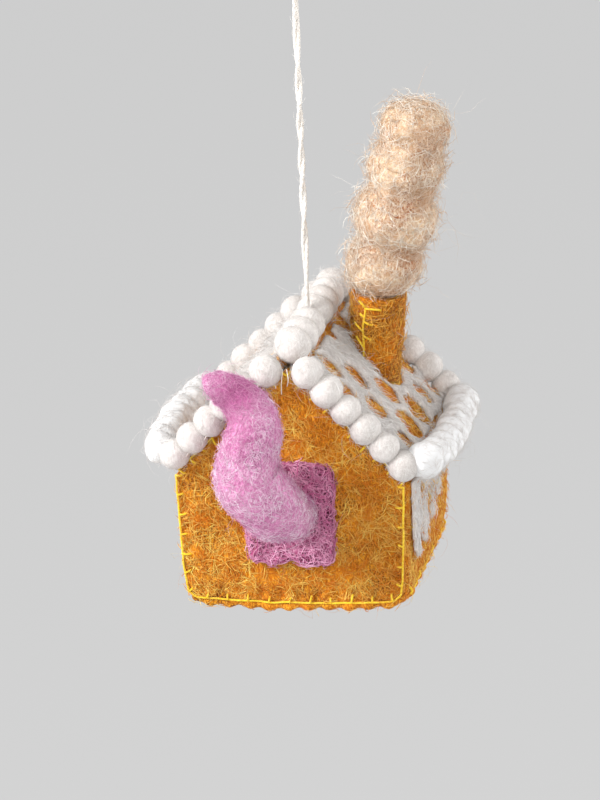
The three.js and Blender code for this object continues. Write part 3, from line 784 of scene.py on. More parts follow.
def side_wall(name, side):
    outline = [(-SIDE_HALF, WALL_FOOT), (SIDE_HALF, WALL_FOOT), (SIDE_HALF, EAVE), (-SIDE_HALF, EAVE)]
    piece = flat_panel(name, outline, FELT, MUSTARD, rounds=3)
    points = uneven(corners(piece), FELT, 14 + side, swell=1.0, middle=(0, 24), reach=(SIDE_HALF, 22))
    a, b, c = points.T
    low = rise(b, WALL_FOOT + HEM, -HEM) ** 2
    c += low * 0.8 * np.cos(2 * math.pi * a / HEM_WAVE) - lean_in(b)
    reshape(piece, drawn_down(points, side * HALF_WIDTH, side * a))
    stand(piece, (side * (HALF_WIDTH - FELT), 0, 0), (0, side, 0), (0, 0, 1), (side, 0, 0))
    return felted(
        piece, MUSTARD_FIBRE, seed=21 + side, per_mm2=1.4 if side > 0 else 0.8, length=4.6,
        thickness=0.22, curl=2.6, stand_off=2.2, Facing=(side, 0, 0), Bare=0.4, **FINE,
    )


for label, side in SIDES:
    dressed(side_wall(f"{label}_wall_felt", side), "mustard_felt", f"{label}_wall")

# %% Floor
FLOOR_INSET, FLOOR_FELT, FLOOR_CORNER = 0.9, 2.4, 6
floor_x, floor_y = HALF_WIDTH - FLOOR_INSET, HALF_DEPTH - FLOOR_INSET
floor_outline = rounded_outline(-floor_x, -floor_y, floor_x, floor_y, FLOOR_CORNER)
floor = flat_panel("floor_felt", floor_outline, FLOOR_FELT, MUSTARD)
points = uneven(corners(floor), FLOOR_FELT, 31)
x, y, z = points.T
across_share, along_share = np.abs(x) / HALF_WIDTH, np.abs(y) / HALF_DEPTH
ripple_x = np.cos(2 * math.pi * (x + 33 + STITCH / 2) / STITCH)
ripple_y = np.cos(2 * math.pi * (y + 30 + STITCH / 2) / STITCH)
y += np.sign(y) * (1.5 + 0.5 * ripple_x) * rise(along_share, 0.85, 0.12)
x += np.sign(x) * 0.8 * ripple_y * rise(across_share, 0.85, 0.15)
droop = rise(along_share, 0.8, 0.2) * (0.9 + 0.4 * ripple_x + 1.6 * lumps(points, 17, 34))
z += foot_line(x, y) - 1.3 - droop
reshape(floor, points)
stand(floor, (0, 0, 0), (1, 0, 0), (0, 1, 0), (0, 0, 1))
floor = felted(
    floor, MUSTARD_FIBRE, seed=33, per_mm2=0.5, length=4.6, thickness=0.24, curl=3, stand_off=1.8,
    Facing=(0, 0, -1), Bare=0.4, **FINE,
)
dressed(floor, "mustard_felt", "floor_panel")

# %% Roof panels
SLOPE, SEAM = math.sqrt(0.5), 0.3
PANEL_TOP, PANEL_BOTTOM, PANEL_HALF, ICING_BOTTOM = 1.4, 54.0, HALF_DEPTH - 3, 51.6


def roof_axes(side):
    """Origin at the ridge; a runs down the slope, b along the ridge, c out of the roof."""
    origin = (side * SEAM * SLOPE, 0, APEX + SEAM * SLOPE)
    return origin, (side * SLOPE, 0, -SLOPE), (0, side, 0), (side * SLOPE, 0, SLOPE)


def roof_panel(name, side):
    low, high = (PANEL_TOP, -PANEL_HALF), (PANEL_BOTTOM, PANEL_HALF)
    outline = [low, (high[0], low[1]), high, (low[0], high[1])]
    piece = flat_panel(name, outline, FELT, MUSTARD, voxel=0.9, rounds=3)
    reshape(piece, uneven(corners(piece), FELT, 41 + side))
    axes = roof_axes(side)
    stand(piece, *axes)
    return felted(
        piece, MUSTARD_FIBRE, seed=44 + side, per_mm2=1.1 if side > 0 else 0.7, length=4.6,
        thickness=0.22, curl=2.6, stand_off=1.4, Facing=axes[3], Bare=0.4, **FINE,
    )


for label, side in SIDES:
    dressed(roof_panel(f"{label}_roof_felt", side), "mustard_felt", f"{label}_roof")

# %% Filling
FILLING_OUTLINE = [(-35, 3.6), (35, 3.6), (35, 45), (9, 72), (-9, 72), (-35, 45)]
filling = flat_panel("wool_filling", FILLING_OUTLINE, 2 * SIDE_HALF - 1, FILLING, voxel=2.0, rounds=6)
stand(filling, (0, SIDE_HALF - 0.5, 0), (1, 0, 0), (0, 0, 1), (0, -1, 0))
dressed(filling, "wool_filling", "stuffing")
print("filling", triangles(filling), "triangles")

# %% [markdown]
# ## Icing
# White wool is felted onto the roof as a net: strands run down the slope, meet and part again, and leave
# leaf-shaped gaps where the brown felt shows. On the side walls shorter strands hang down from the eave.
# Separate strands looked like rods, so each patch is one sheet on a fine grid instead. Its thickness comes
# from the distance to the nearest gap or edge, so it swells between the gaps and thins out to nothing.

# %% Icing sheet
GRID, FRAY, BACKING = 0.55, 1.6, 0.25


def leaf(a, b, length, width):
    """Distance from the edge of a leaf shape, the overlap of two circles; below zero inside it."""
    half, bulge = length / 2, width / 2
    radius = (half**2 + bulge**2) / (2 * bulge)
    offset = radius - bulge
    return np.maximum(np.hypot(a, b - offset), np.hypot(a, b + offset)) - radius


def sheet(flat, height, bottom, kept):
    """Vertices and faces of a closed sheet over the cells of a grid whose four corners are all kept."""
    cells = kept[:-1, :-1] & kept[1:, :-1] & kept[:-1, 1:] & kept[1:, 1:]
    count_b, lower = kept.shape[1], kept.size
    vertices = np.vstack([np.c_[flat[:, :2], height], np.c_[flat[:, :2], np.full(lower, bottom)]])
    faces = []
    for i, j in zip(*np.nonzero(cells)):
        p, q = i * count_b + j, (i + 1) * count_b + j
        r, s = q + 1, p + 1
        faces += [(p, q, r, s), (lower + s, lower + r, lower + q, lower + p)]
        for di, dj, m, n in ((-1, 0, s, p), (1, 0, q, r), (0, -1, p, q), (0, 1, r, s)):
            k, l = i + di, j + dj
            if not (0 <= k < cells.shape[0] and 0 <= l < cells.shape[1] and cells[k, l]):
                faces.append((m, lower + m, lower + n, n))
    used = sorted({v for face in faces for v in face})
    number = {v: k for k, v in enumerate(used)}
    return vertices[used], [tuple(number[v] for v in face) for face in faces]


def icing(name, low, high, inside, thick, seat, axes, seed, per_mm2, stand_off):
    """A sheet of wool over the part of the panel where inside(a, b) is above zero."""
    grid = np.meshgrid(*(np.arange(low[k], high[k] + GRID, GRID) for k in (0, 1)), indexing="ij")
    flat = np.stack([grid[0].ravel(), grid[1].ravel(), np.zeros(grid[0].size)], 1)
    shift_a = 0.9 * lumps(flat, 5, seed) + 0.5 * lumps(flat, 1.8, seed + 4)
    shift_b = 0.8 * lumps(flat, 4, seed + 1) + 0.5 * lumps(flat, 1.8, seed + 5)
    deep = inside(flat[:, 0] + shift_a, flat[:, 1] + shift_b)
    strandy = lumps(flat / np.array([7, 1.1, 1]), 1, seed + 2)
    swell = np.sqrt(1 - (1 - rise(deep, 0, FRAY)) ** 2)
    height = seat + swell * (thick + 0.4 * strandy + 0.35 * lumps(flat, 2.4, seed + 3))
    made = sheet(flat, height, seat - BACKING, (deep > 0).reshape(grid[0].shape))
    piece = mesh_piece(name, *made, WHITE)
    shade_smooth(piece)
    smoothed(piece, 2)
    stand(piece, *axes)
    return felted(
        piece, WHITE_FIBRE, seed, per_mm2, length=6.5, thickness=0.18, curl=4, stand_off=stand_off,
        Facing=axes[3], Comb=axes[1], Spread=1.2, Points=5, Bare=0.36,
    )


# %% Icing on the roof
ROOF_GAPS = [
    (10.8, -18, 12, 8), (20.3, -9, 11.5, 8.5), (20, -24, 10, 8), (32, 0, 12, 10.5), (31.7, -16, 11, 9.5),
    (44.5, 6.2, 12.5, 11), (44.5, -6.6, 13, 11), (43.5, 20, 10, 8), (46, -18.5, 10, 8.5), (45, 29, 10, 6),
    (33, 27.5, 10, 8), (5.5, 15.5, 10, 11), (5, 2, 7, 6),
]
CHIMNEY_DOWN, CHIMNEY_BACK, CHIMNEY_RADIUS, CHIMNEY_LEAN = 23, 14, 9.2, math.radians(5)
ICED = 3.3


def roof_icing(name, side, seed):
    with_chimney = side > 0

    def inside(a, b):
        deep = np.minimum(np.minimum(a - 4.2, ICING_BOTTOM - a), PANEL_HALF - 0.4 - np.abs(b))
        for middle_a, middle_b, length, width in ROOF_GAPS:
            deep = np.minimum(deep, leaf(a - middle_a, b - side * middle_b, length, width))
        if with_chimney:
            foot = np.hypot((a - CHIMNEY_DOWN) * 0.77, b - CHIMNEY_BACK) - CHIMNEY_RADIUS - 0.4
            deep = np.minimum(deep, foot)
        return deep

    low, high = (2, -PANEL_HALF), (ICING_BOTTOM + 1, PANEL_HALF)
    return icing(
        name, low, high, inside, thick=1.3, seat=ICED, axes=roof_axes(side), seed=seed,
        per_mm2=1.7 if with_chimney else 1.0, stand_off=3.4,
    )


for seed, (label, side) in enumerate(SIDES, 51):
    dressed(roof_icing(f"{label}_roof_icing_wool", side, seed), "white_wool", f"{label}_roof_icing")

# %% Icing on the side walls
WALL_GAPS = [(9, -22), (22, -22), (3.5, -10.5), (15.5, -10.5), (9, 1.5), (20, 1.5), (13, 12.5)]
GAP_LENGTH, GAP_WIDTH, DRIP_HALF, DRIP_TIP = 10.5, 6.6, 6.6, 10
DRIPS = [(-28, 29), (-16.5, 28.5), (-4.5, 25), (7, 22), (17.5, 18)]


def wall_icing(name, side, seed):
    def inside(a, b):
        deep = np.full(a.shape, -5.0)
        for middle, length in DRIPS:
            taper = DRIP_HALF * rise(a, length, -DRIP_TIP) ** 0.6
            deep = np.maximum(deep, np.minimum(taper - np.abs(b * side - middle), length - a))
        for middle_a, middle_b in WALL_GAPS:
            deep = np.minimum(deep, leaf(a - middle_a, b * side - middle_b, GAP_LENGTH, GAP_WIDTH))
        return np.minimum(deep, a + 1)

    axes = (side * HALF_WIDTH, 3, 42.7), (0, 0, -1), (0, side, 0), (side, 0, 0)
    return icing(
        name, (-1, -34), (32, 26), inside, thick=0.9, seat=0.6, axes=axes, seed=seed, per_mm2=1.9,
        stand_off=1.8,
    )


for seed, (label, side) in enumerate(SIDES, 56):
    dressed(wall_icing(f"{label}_wall_icing_wool", side, seed), "white_wool", f"{label}_window_icing")

# %% [markdown]
# ## Felt balls
# The edging is balls of white wool, rolled wet by hand and sewn on in rows, so no two are quite alike. A tree
# puts a ball on each point of a row, with the size and turn that the point carries, and dents it by noise.
# The rows along the eaves are squashed together, so they get one even skin over all their balls.

# %% Ball tree
balls, given, made = geometry_tree("felt_balls", {"Unevenness": "Float", "Material": "Material"})
node, maths, vectors, _ = for_tree(balls)
ball = node("GeometryNodeMeshIcoSphere", {"Radius": 1.0, "Subdivisions": 4})
size, turned = (
    node("GeometryNodeInputNamedAttribute", {"Name": name}, data_type="FLOAT_VECTOR")
    for name in ("ball_size", "ball_turn")
)
lie = node("FunctionNodeEulerToRotation", {0: turned})
spots = node("GeometryNodeMeshToPoints", {"Mesh": given["Geometry"]})
rows = node(
    "GeometryNodeInstanceOnPoints", {"Points": spots, "Instance": ball, "Rotation": lie, "Scale": size}
)
solid = node("GeometryNodeRealizeInstances", {"Geometry": rows})
dents = node("ShaderNodeTexNoise", {"Scale": 190.0, "Detail": 2.0})
push = maths("MULTIPLY", maths("SUBTRACT", dents, 0.5), given["Unevenness"])
moved = vectors("SCALE", node("GeometryNodeInputNormal"), push)
end_tree(balls, node("GeometryNodeSetPosition", {"Geometry": solid, "Offset": moved}), given, made)


# %% Rows of balls
def ball_row(name, centres, size, turn, seed, *nodes, merged=False):
    rng = np.random.default_rng(seed)
    row = mesh_piece(name, centres, [])
    vary = 0.11 if merged else 0.05
    sizes = np.array(size) * rng.uniform(1 - vary, 1 + vary, (len(centres), 1)) * MM
    turns = np.array([turn] * len(centres))
    for label, values in (("ball_size", sizes), ("ball_turn", turns)):
        row.data.attributes.new(label, "FLOAT_VECTOR", "POINT").data.foreach_set("vector", values.ravel())
    run_tree(row, balls, {"Unevenness": 0.9 * MM, "Material": WHITE})
    if merged:
        soften(row, voxel=0.8 * MM, rounds=9)
        points = corners(row)
        reshape(row, points + 0.8 * MM * lumps_each_way(points, 6 * MM, seed))
        # Painted shade: the merged eave rows are darkened evenly by half, towards the darker white.
        paint_shade_and_dye(row, np.full(len(points), 0.5))
    row = felted(
        row, WHITE_FIBRE, seed, per_mm2=1.0 if merged else 0.7,
        length=3.6, thickness=0.1, curl=2.2, stand_off=2.4,
    )
    dressed(row, "white_wool", *nodes)


def middle_of(node):
    low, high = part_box(node)
    return (low + high) / 2


RAKE_BALLS, RIDGE_BALLS, EAVE_BALLS = 6, 7, 9
RAKE_SIZE, EAVE_SIZE, LEFT_SHIFT = (5.1, 5.3, 5.3), (5.7, 5.9, 5.7), 1.3 * MM
BESIDE_STRING, RIDGE_SIZE = (6, 5.2, 5.5), (6.2, 5.6, 6)
RIDGE_SIZES = [(6.3, 5.8, 6.2), RIDGE_SIZE] + 2 * [BESIDE_STRING] + 3 * [RIDGE_SIZE]
RIDGE_OFFSET = Vector((1.2, 0, 0.3)) * MM
for label, end in ENDS:
    for side, sign in SIDES:
        nodes = [f"{label}_{side}_ball_{k + 1}" for k in range(RAKE_BALLS)]
        centres = [middle_of(n) for n in nodes]
        if sign < 0:
            centres[0].x += LEFT_SHIFT
        turn, seed = (0, sign * math.pi / 4, 0), 60 + 3 * sign + (end > 0)
        ball_row(f"{label}_{side}_felt_balls", centres, RAKE_SIZE, turn, seed, *nodes)
nodes = [f"ridge_ball_{k + 1}" for k in range(RIDGE_BALLS)]
centres = [middle_of(n) + RIDGE_OFFSET for n in nodes]
ball_row("ridge_felt_balls", centres, RIDGE_SIZES, (0, 0, 0), 71, *nodes)
for seed, (side, sign) in enumerate(SIDES, 74):
    low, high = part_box(f"{side}_eave_balls")
    spread = (high.y - low.y) / 2 - 5 * MM
    centres = []
    for t in np.linspace(-1.1, 1, EAVE_BALLS):
        bow = Vector((sign * (2.2 - 2.2 * t**2), 0, 3.2 * max(-t - 0.25, 0) - max(t, 0))) * MM
        centres.append((low + high) / 2 + bow + Vector((0, spread * t, 0)))
    nodes = [f"{side}_eave_balls"]
    ball_row(f"{side}_eave_felt_balls", centres, EAVE_SIZE, (0, 0, 0), seed, *nodes, merged=True)

# %% [markdown]
# ## Chimney and smoke
# The chimney is a strip of felt rolled into a tube and sewn up its front with yellow feather stitch; its
# foot is cut to the slope of the roof. The smoke is loose wool pushed into it and pinched into four soft
# swellings. It is a core and four flattened balls under one even skin, because separate balls would leave
# sharp creases. Shade is painted into the folds between the swellings, more on the right side of the plume.

# %% Chimney
CHIMNEY_HEIGHT, CHIMNEY_WALL = 24.5, 3.0
foot_x = SEAM + CHIMNEY_DOWN + ICED
foot_z = SEAM - CHIMNEY_DOWN + ICED
chimney_foot = Vector((foot_x * SLOPE, CHIMNEY_BACK, APEX + foot_z * SLOPE))
axis = Vector((math.sin(CHIMNEY_LEAN), 0, math.cos(CHIMNEY_LEAN)))
aside = Vector((math.cos(CHIMNEY_LEAN), 0, -math.sin(CHIMNEY_LEAN)))
rim = chimney_foot + axis * CHIMNEY_HEIGHT
slant = math.tan(math.pi / 4 - CHIMNEY_LEAN)
around = np.linspace(0, 2 * math.pi, 57)[:-1]


def round_axis(base, height, radius, angle):
    """A point at a height on the chimney's axis, out by a radius at an angle."""
    spot = base + axis * height + aside * (radius * math.cos(angle))
    return spot + Vector((0, radius * math.sin(angle), 0))


def chimney_point(angle, radius, share):
    """A point of the tube: share runs from the sloping foot to the rim."""
    radius *= 0.93 + 0.08 * share
    low = -radius * math.cos(angle) * slant
    return round_axis(chimney_foot, low + (CHIMNEY_HEIGHT - low) * share, radius, angle)


profile = [(CHIMNEY_RADIUS - CHIMNEY_WALL, s) for s in np.linspace(1, 0, 8)]
profile += [(CHIMNEY_RADIUS, s) for s in np.linspace(0, 1, 24)]
vertices = [chimney_point(t, radius, share) for radius, share in profile for t in around]
faces = ring_faces(len(profile), len(around), closed=True)
chimney = soften(mesh_piece("chimney_felt_tube", vertices, faces, OCHRE), voxel=0.7, rounds=3)
points = corners(chimney)
reshape(chimney, points + 0.45 * lumps_each_way(points, 6, 81))
chimney.data.transform(HOUSE)
chimney = felted(
    chimney, OCHRE_FIBRE, seed=83, per_mm2=1.5, length=4.4, thickness=0.21, curl=2.6, stand_off=2.0,
    Bare=0.42, **FINE,
)
dressed(chimney, "chimney_felt", "chimney")

# %% Smoke: a plug in the chimney, a core and four swellings under one skin
PLUME_HEIGHT, PLUME_DRIFT, PLUME_RADIUS = 66, 15.8, 14
PLUG = ((-11, 4.6), (-4, 5.6), (0.4, 6.0), (6, 7.0))
CORE, CORE_SHARE = (0.05, 0.3, 0.6, 0.86), 0.78
BOBBLES = [
    (0.15, 0.11, 0.9, 0.9, -8), (0.4, 0.39, 1, 0.86, 12),
    (0.66, 0.65, 0.9, 0.88, -10), (0.87, 0.87, 0.82, 0.74, 7),
]


def in_plume(drift, high):
    return rim + Vector((drift * PLUME_DRIFT, 0, high * PLUME_HEIGHT))


def bobble(high, drift, swell, flat, tilt):
    build = bmesh.new()
    bmesh.ops.create_icosphere(build, subdivisions=4, radius=1)
    girth = swell * PLUME_RADIUS
    tilted = Matrix.Rotation(math.radians(tilt), 4, "Y") @ Matrix.Diagonal((girth, girth, flat * girth, 1))
    build.transform(Matrix.Translation(in_plume(drift, high)) @ tilted)
    shape = [v.co.copy() for v in build.verts], [[v.index for v in face.verts] for face in build.faces]
    build.free()
    return shape


few = around[::4]
ring = np.stack([np.cos(few), np.sin(few), 0 * few], 1) * CORE_SHARE * PLUME_RADIUS
core = smooth_path([in_plume(s, s) for s in CORE], 6)
plug = loft([[round_axis(rim, h, r, t) for t in few] for h, r in PLUG])
shapes = [plug, loft([spot + ring for spot in core])] + [bobble(*each) for each in BOBBLES]
vertices, faces = [], []
for more, more_faces in shapes:
    faces += [tuple(v + len(vertices) for v in face) for face in more_faces]
    vertices += list(more)
smoke = soften(mesh_piece("smoke_wool_plume", vertices, faces, SMOKE), voxel=0.9, rounds=15)

# %% Smoke: roughness, painted shade in the folds, and fibres
points = corners(smoke)
x, y, z = points.T
rough = 0.9 * lumps_each_way(points, 6, 86) + 0.25 * lumps_each_way(points, 2.6, 186)
reshape(smoke, points + rise(z, rim.z, 6)[:, None] * rough)
share_up = (z - rim.z) / PLUME_HEIGHT
from_middle = x - rim.x - share_up * PLUME_DRIFT
girth = np.hypot(from_middle, y - rim.y)
cloudy = np.clip(0.5 + 0.8 * lumps(points, 8, 88), 0, 1)
# Painted shade: darker in the folds between the swellings, more so on the plume's right side, in cloudy
# patches.
painted_fold_shade = rise(girth, 12.2, -2.0) * (share_up < 0.9)
painted_shade_right = np.clip(0.35 + from_middle / 14, 0, 1)
paint_shade_and_dye(smoke, painted_fold_shade * (0.25 + 0.75 * painted_shade_right) * cloudy)
smoke.data.transform(HOUSE)
smoke = felted(
    smoke, SMOKE_FIBRE, seed=89, per_mm2=1.1, length=6, thickness=0.19, curl=7, stand_off=4.6,
    Points=5, Bare=0.38,
    **{"Curls per metre": 330.0, "Clumps per metre": 350.0},
)
dressed(smoke, "smoke_wool", "smoke_plume")

# %% [markdown]
# ## Pad and trunk
# A pad of coarse mauve wool is felted onto the front, and the trunk grows out of it: forward, then up, and at
# its end to the left. The trunk is firm needle felt under a web of paler fibres.

# %% Pad
PAD_HALF, PAD_LOW, PAD_HIGH, PAD_THICK, PAD_CORNER = 14.75, 14.6, 50, 4, 4
pad_outline = rounded_outline(-PAD_HALF, PAD_LOW, PAD_HALF, PAD_HIGH, PAD_CORNER)
pad = flat_panel("door_pad_wool", pad_outline, PAD_THICK, MAUVE, voxel=0.6, rounds=6)
points = corners(pad)
a, b, c = points.T
c += rise(c, 0, PAD_THICK) * (0.7 * lumps(points, 3.2, 91) + 0.4 * lumps(points, 1.5, 92))
a += 0.8 * lumps(points, 5, 93)
b += 0.8 * lumps(points, 5, 94)
notch = np.exp(-((a - 0.5) ** 2) / 4) * rise(b, PAD_LOW + 6, -6)
b += 1.6 * notch
reshape(pad, points)
# Painted shade: the pad's upper right is darkened where the trunk's shadow falls.
paint_shade_and_dye(pad, 0.3 * rise(a, 2, 10) * rise(b, 18, 12))
stand(pad, (0, -HALF_DEPTH - 0.3, 0), (1, 0, 0), (0, 0, 1), (0, -1, 0))
pad = felted(
    pad, MAUVE_FIBRE, seed=95, per_mm2=1.9, length=7, thickness=0.33, curl=7, stand_off=2.0,
    Facing=(0, -1, 0), Points=6, Bare=0.47,
    **{"Curls per metre": 300.0, "Clumps per metre": 600.0},
)
dressed(pad, "mauve_wool", "door_pad")

# %% Trunk: shares of its sway, reach, rise and radius from station to station
TRUNK_SWAY, TRUNK_REACH, TRUNK_RISE, TRUNK_RADIUS, TRUNK_FOOT = 22.4, 18.4, 48, 11, 7.0
TRUNK = [
    (0, 0.36, 0, 0.69), (0.13, 0.7, 0.09, 0.91), (0.295, 0.9, 0.23, 0.965), (0.47, 1, 0.37, 1),
    (0.445, 0.975, 0.53, 0.86), (0.37, 0.92, 0.69, 0.805), (0.42, 0.835, 0.81, 0.71),
    (0.63, 0.815, 0.925, 0.58), (0.82, 0.88, 0.985, 0.49), (0.94, 0.925, 1, 0.42),
    (1.005, 0.935, 0.99, 0.3), (1.03, 0.94, 0.985, 0.08),
]
TRUNK_SIDES, PER_SPAN = 40, 8
seat = Vector((2.4, -HALF_DEPTH - PAD_THICK - 0.6, 35.4))


def in_trunk(sway, reach, rise_share):
    return seat + Vector((-TRUNK_SWAY * sway, -TRUNK_REACH * reach, TRUNK_RISE * rise_share))


path = smooth_path([seat] + [in_trunk(*station[:3]) for station in TRUNK], PER_SPAN)
radii = [TRUNK_FOOT] + [station[3] * TRUNK_RADIUS for station in TRUNK]
girth = smooth_path([(r, 0, 0) for r in radii], PER_SPAN)[:, 0]
trunk = mesh_piece("trunk_felt", *loft(tube_rings(path, girth, TRUNK_SIDES)), LILAC)
shade_smooth(trunk)
points = corners(trunk)
reshape(trunk, points + 0.4 * lumps_each_way(points, 6, 96))
# Painted shade: a darker spot on the upper bend of the trunk, near its tip.
painted_shade_spot = in_trunk(0.6, 0.85, 0.95) + Vector((0, -4, 0))
far = np.linalg.norm(points - np.array(painted_shade_spot), axis=1)
paint_shade_and_dye(trunk, 0.9 * np.exp(-((far / 9) ** 2)))
trunk.data.transform(HOUSE)
trunk = felted(
    trunk, LILAC_FIBRE, seed=99, per_mm2=3.3, length=3, thickness=0.16, curl=2, stand_off=1.8,
    Facing=(0, -1, 0.2), Points=3, Bare=0.36, **FINE,
)
dressed(trunk, "lilac_wool", "trunk")

# %% [markdown]
# ## Stitching
# Yellow thread in blanket stitch closes the edges: a line along the edge, with a short leg into the felt at
# each stitch. A tree follows a guide line, so that every edge is sewn in the same way.

# %% Stitch tree
stitches, given, made = geometry_tree("blanket_stitch", {
    "Pitch": "Float", "Leg": "Float", "Thread": "Float",
    "Face": "Vector", "Seed": "Int", "Material": "Material",
})
node, maths, vectors, draw = for_tree(stitches)
guide = node("GeometryNodeMeshToCurve", {"Mesh": given["Geometry"]})
edge = node("GeometryNodeResampleCurve", {"Curve": guide, "Length": 1.2 * MM}, mode="LENGTH")
place = node("GeometryNodeInputPosition")
waver = node("ShaderNodeTexNoise", {"Vector": place, "Scale": 150.0}).outputs["Color"]
slack = vectors("SCALE", vectors("SUBTRACT", waver, (0.5, 0.5, 0.5)), 0.9 * MM)
wavering = node("GeometryNodeSetPosition", {"Geometry": edge, "Offset": slack})
section = node("GeometryNodeCurvePrimitiveCircle", {"Resolution": 6, "Radius": 1.0})
half = maths("MULTIPLY", given["Thread"], 0.5)
body = {"Profile Curve": section, "Scale": half, "Fill Caps": True}
line = node("GeometryNodeCurveToMesh", {"Curve": wavering, **body})
marks = node("GeometryNodeCurveToPoints", {"Curve": guide, "Length": given["Pitch"]}, mode="LENGTH")
inward = vectors("CROSS_PRODUCT", given["Face"], marks.outputs["Tangent"])
lean = node(
    "FunctionNodeRandomValue", {0: (-0.25, -0.25, -0.25), 1: (0.25, 0.25, 0.25), 8: given["Seed"]},
    data_type="FLOAT_VECTOR",
)
heading = node(
    "FunctionNodeAxesToRotation",
    {"Primary Axis": vectors("ADD", inward, lean), "Secondary Axis": given["Face"]},
    primary_axis="Z", secondary_axis="Y",
)
leg = node(
    "GeometryNodeCurveQuadraticBezier",
    {"Resolution": 5, "Start": (0, 0, 0), "Middle": (0, 0.42, 0.5), "End": (0, -0.35, 1.05)},
)
reach = maths("MULTIPLY", given["Leg"], draw(0.7, 1.2, given["Seed"]))
sewn = node(
    "GeometryNodeInstanceOnPoints", {"Points": marks, "Instance": leg, "Rotation": heading, "Scale": reach}
)
legs = node("GeometryNodeRealizeInstances", {"Geometry": sewn})
leg_bodies = node("GeometryNodeCurveToMesh", {"Curve": legs, **body})
both = node("GeometryNodeJoinGeometry")
for part in (line, leg_bodies):
    stitches.links.new(part.outputs[0], both.inputs[0])
end_tree(stitches, both, given, made)

# %% Sewn edges
YELLOW_THREAD, WHITE_THREAD = 0.75, 0.32


def sewn_edge(name, guide, face, seed, pitch=STITCH, leg=2.4):
    spots = [HOUSE @ Vector(p) for p in guide]
    piece = mesh_piece(name, spots, [], edges=[(i, i + 1) for i in range(len(spots) - 1)])
    values = {"Pitch": pitch * MM, "Leg": leg * MM, "Thread": YELLOW_THREAD * MM}
    run_tree(piece, stitches, {**values, "Face": face, "Seed": seed, "Material": THREAD})
    print(name, triangles(piece), "triangles")
    dressed(piece, "yellow_thread")


def gable_guide(end):
    face_y = end * (HALF_DEPTH + 0.25)
    foot = []
    for x in np.linspace(-34.6, 33.6, 24):
        foot.append((x, face_y, float(foot_line(x, end * HALF_DEPTH)) + 0.4))
    heights = [EAVE - 3 * k for k in range(12)]
    sides = [(HALF_WIDTH - 0.1 - float(lean_in(z)), z) for z in heights]
    corner_x = sides[-1][0] - 0.9
    tuck = FRONT_TUCK if end < 0 else 0
    guide = [(-x, face_y, z) for x, z in sides] + [(-corner_x, face_y, foot[0][2] + 2.2)]
    guide += foot + [(corner_x - tuck, face_y, foot[-1][2] + 2.2)]
    return guide + [(x - tuck, face_y, z) for x, z in sides[::-1]]


for seed, (label, end) in enumerate(ENDS, 101):
    sewn_edge(f"{label}_stitching", gable_guide(end)[::-end], (0, end, 0), seed)
for label, side in SIDES:
    guide = []
    for y in np.linspace(-30, 30, 20) * side:
        guide.append((side * (HALF_WIDTH - 0.9), y, float(foot_line(side * HALF_WIDTH, y)) + 0.6))
    sewn_edge(f"{label}_foot_stitching", guide, (side, 0, 0), 104 + side)

# %% Stitches along the gable's slopes
for label, end in ENDS:
    for name, side in SIDES:
        guide = []
        for share in np.linspace(0.04, 0.97, 16):
            x, z = side * HALF_WIDTH * share, APEX - HALF_WIDTH * share + 0.9
            guide.append((x, end * (HALF_DEPTH + 0.2), z))
        guide = guide[:: side * end]
        seed = 110 + side + 3 * end
        sewn_edge(f"{label}_{name}_slope_stitching", guide, (0, end, 0), seed, pitch=5.4, leg=3.2)


# %% Chimney seam
def thread_runs(name, runs, diameter, material):
    """Loose runs of thread, each through a few points of the house."""
    pieces = []
    for k, run in enumerate(runs):
        route = smooth_path([HOUSE @ Vector(p) for p in run], 6)
        rings = tube_rings(route, [diameter / 2 * MM] * len(route), 6, (0.3, 0.5, 0.8))
        pieces.append(mesh_piece(f"{name}_{k}", *loft(rings), material))
    piece = joined(name, pieces)
    shade_smooth(piece)
    print(name, triangles(piece), "triangles")
    return piece


def on_chimney(degrees, share, lift=0.35):
    return chimney_point(math.radians(degrees), CHIMNEY_RADIUS + lift, share)


SEAM_AT = -107
TICKS = (
    (0.84, 34, 0.03), (0.63, 18, 0.0), (0.4, 17, 0.01), (0.86, -16, 0.06), (0.7, -12, 0.02),
    (0.46, -30, 0.03), (0.22, -22, 0.05),
)
seam = [[on_chimney(SEAM_AT + 2 * math.sin(9 * s), s) for s in np.linspace(0.08, 0.86, 9)]]
for share, reach, climb in TICKS:
    crest = on_chimney(SEAM_AT + reach / 2, share + climb, 0.7)
    seam.append([on_chimney(SEAM_AT, share), crest, on_chimney(SEAM_AT + reach, share + climb, 0.1)])
dressed(thread_runs("chimney_seam_stitching", seam, YELLOW_THREAD, THREAD), "yellow_thread")

# %% White thread between the balls, with three loose ends at the apex
loops = []
for label, end in ENDS:
    under_ball = Vector((0, end * 2, -3.5))
    for side, _ in SIDES:
        row = [HOUSE.inverted() @ middle_of(f"{label}_{side}_ball_{k + 1}") for k in range(RAKE_BALLS)]
        for k, (a, b) in enumerate(zip(row, row[1:])):
            sag = (a + b) / 2 + Vector((0, end * 2.2, -4.4 - 0.8 * (k % 2)))
            loops.append([a + under_ball, sag, b + under_ball])
for shift, length in ((-1.6, 7), (-0.4, 9), (0.9, 6)):
    start = Vector((shift, -HALF_DEPTH - 2.5, APEX + 1))
    halfway = start + Vector((0.8 * shift, -1.2, -0.5 * length))
    loops.append([start, halfway, start + Vector((0.5 * shift - 0.6, 0.4, -length))])
dressed(thread_runs("ball_sewing_thread", loops, WHITE_THREAD, COTTON), "white_wool")

# %% [markdown]
# ## Stage and light
# The photograph has an even grey ground and one broad soft light from the upper left, with plenty of fill.
# The ground lies well below the hanging house. To the camera it glows in one plain grey, with a little of
# its lit surface mixed in.

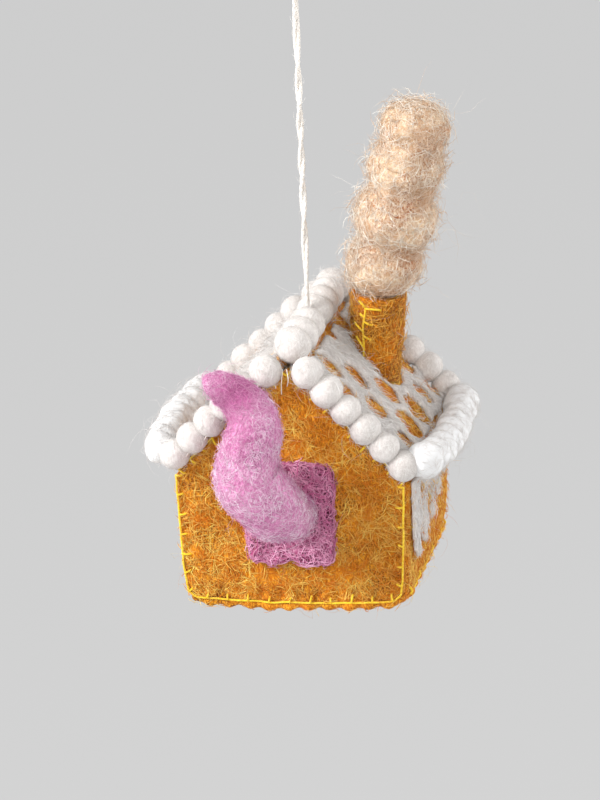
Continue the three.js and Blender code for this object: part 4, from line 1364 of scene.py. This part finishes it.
# %% Stage and light
GROUND, SKY, SHOWN_PLAIN = (0.642, 0.642, 0.642, 1), (0.5, 0.5, 0.5, 1), 0.9
GROUND_HALF, GROUND_BELOW = 6, 0.3


def lamp(name, place, energy, size):
    light = bpy.data.lights.new(name, "AREA")
    light.energy = energy
    light.size = size
    holder = bpy.data.objects.new(name, light)
    bpy.context.scene.collection.objects.link(holder)
    holder.location = TARGET + Vector(place)
    holder.rotation_mode = "QUATERNION"
    holder.rotation_quaternion = Vector(place).to_track_quat("Z", "Y")


lamp("key", (-0.66, -0.44, 0.5), energy=10.5, size=0.36)
lamp("front", (0.25, -0.8, 0.4), energy=4.1, size=0.5)
lamp("fill", (0.78, 0.42, 0.12), energy=5.0, size=0.5)
world = bpy.data.worlds.new("studio")
bpy.context.scene.world = world
world.use_nodes = True
tree = world.node_tree
sky = tree.nodes["Background"]
sky.inputs["Color"].default_value = SKY
shown = add(tree, "ShaderNodeBackground", {"Color": GROUND})
ray = add(tree, "ShaderNodeLightPath").outputs
seen = math_node(tree, "MAXIMUM", ray["Is Camera Ray"], ray["Is Glossy Ray"])
pick = add(tree, "ShaderNodeMixShader", {0: seen, 1: sky, 2: shown})
tree.links.new(pick.outputs[0], tree.nodes["World Output"].inputs["Surface"])

ground_material = bpy.data.materials.new("ground")
ground_material.use_nodes = True
tree = ground_material.node_tree
surface = tree.nodes["Principled BSDF"]
surface.inputs["Base Color"].default_value = GROUND
surface.inputs["Roughness"].default_value = 0.9
glow = add(tree, "ShaderNodeEmission", {"Color": GROUND})
ray = add(tree, "ShaderNodeLightPath").outputs
share = math_node(tree, "MULTIPLY", ray["Is Camera Ray"], SHOWN_PLAIN)
pick = add(tree, "ShaderNodeMixShader", {0: share, 1: surface, 2: glow})
tree.links.new(pick.outputs[0], tree.nodes["Material Output"].inputs["Surface"])
low, far = floor_low.z - GROUND_BELOW, GROUND_HALF
plane = [(-far, -far, low), (far, -far, low), (far, far, low), (-far, far, low)]
ground = mesh_piece("ground", plane, [(0, 1, 2, 3)], ground_material)
print("stage set")
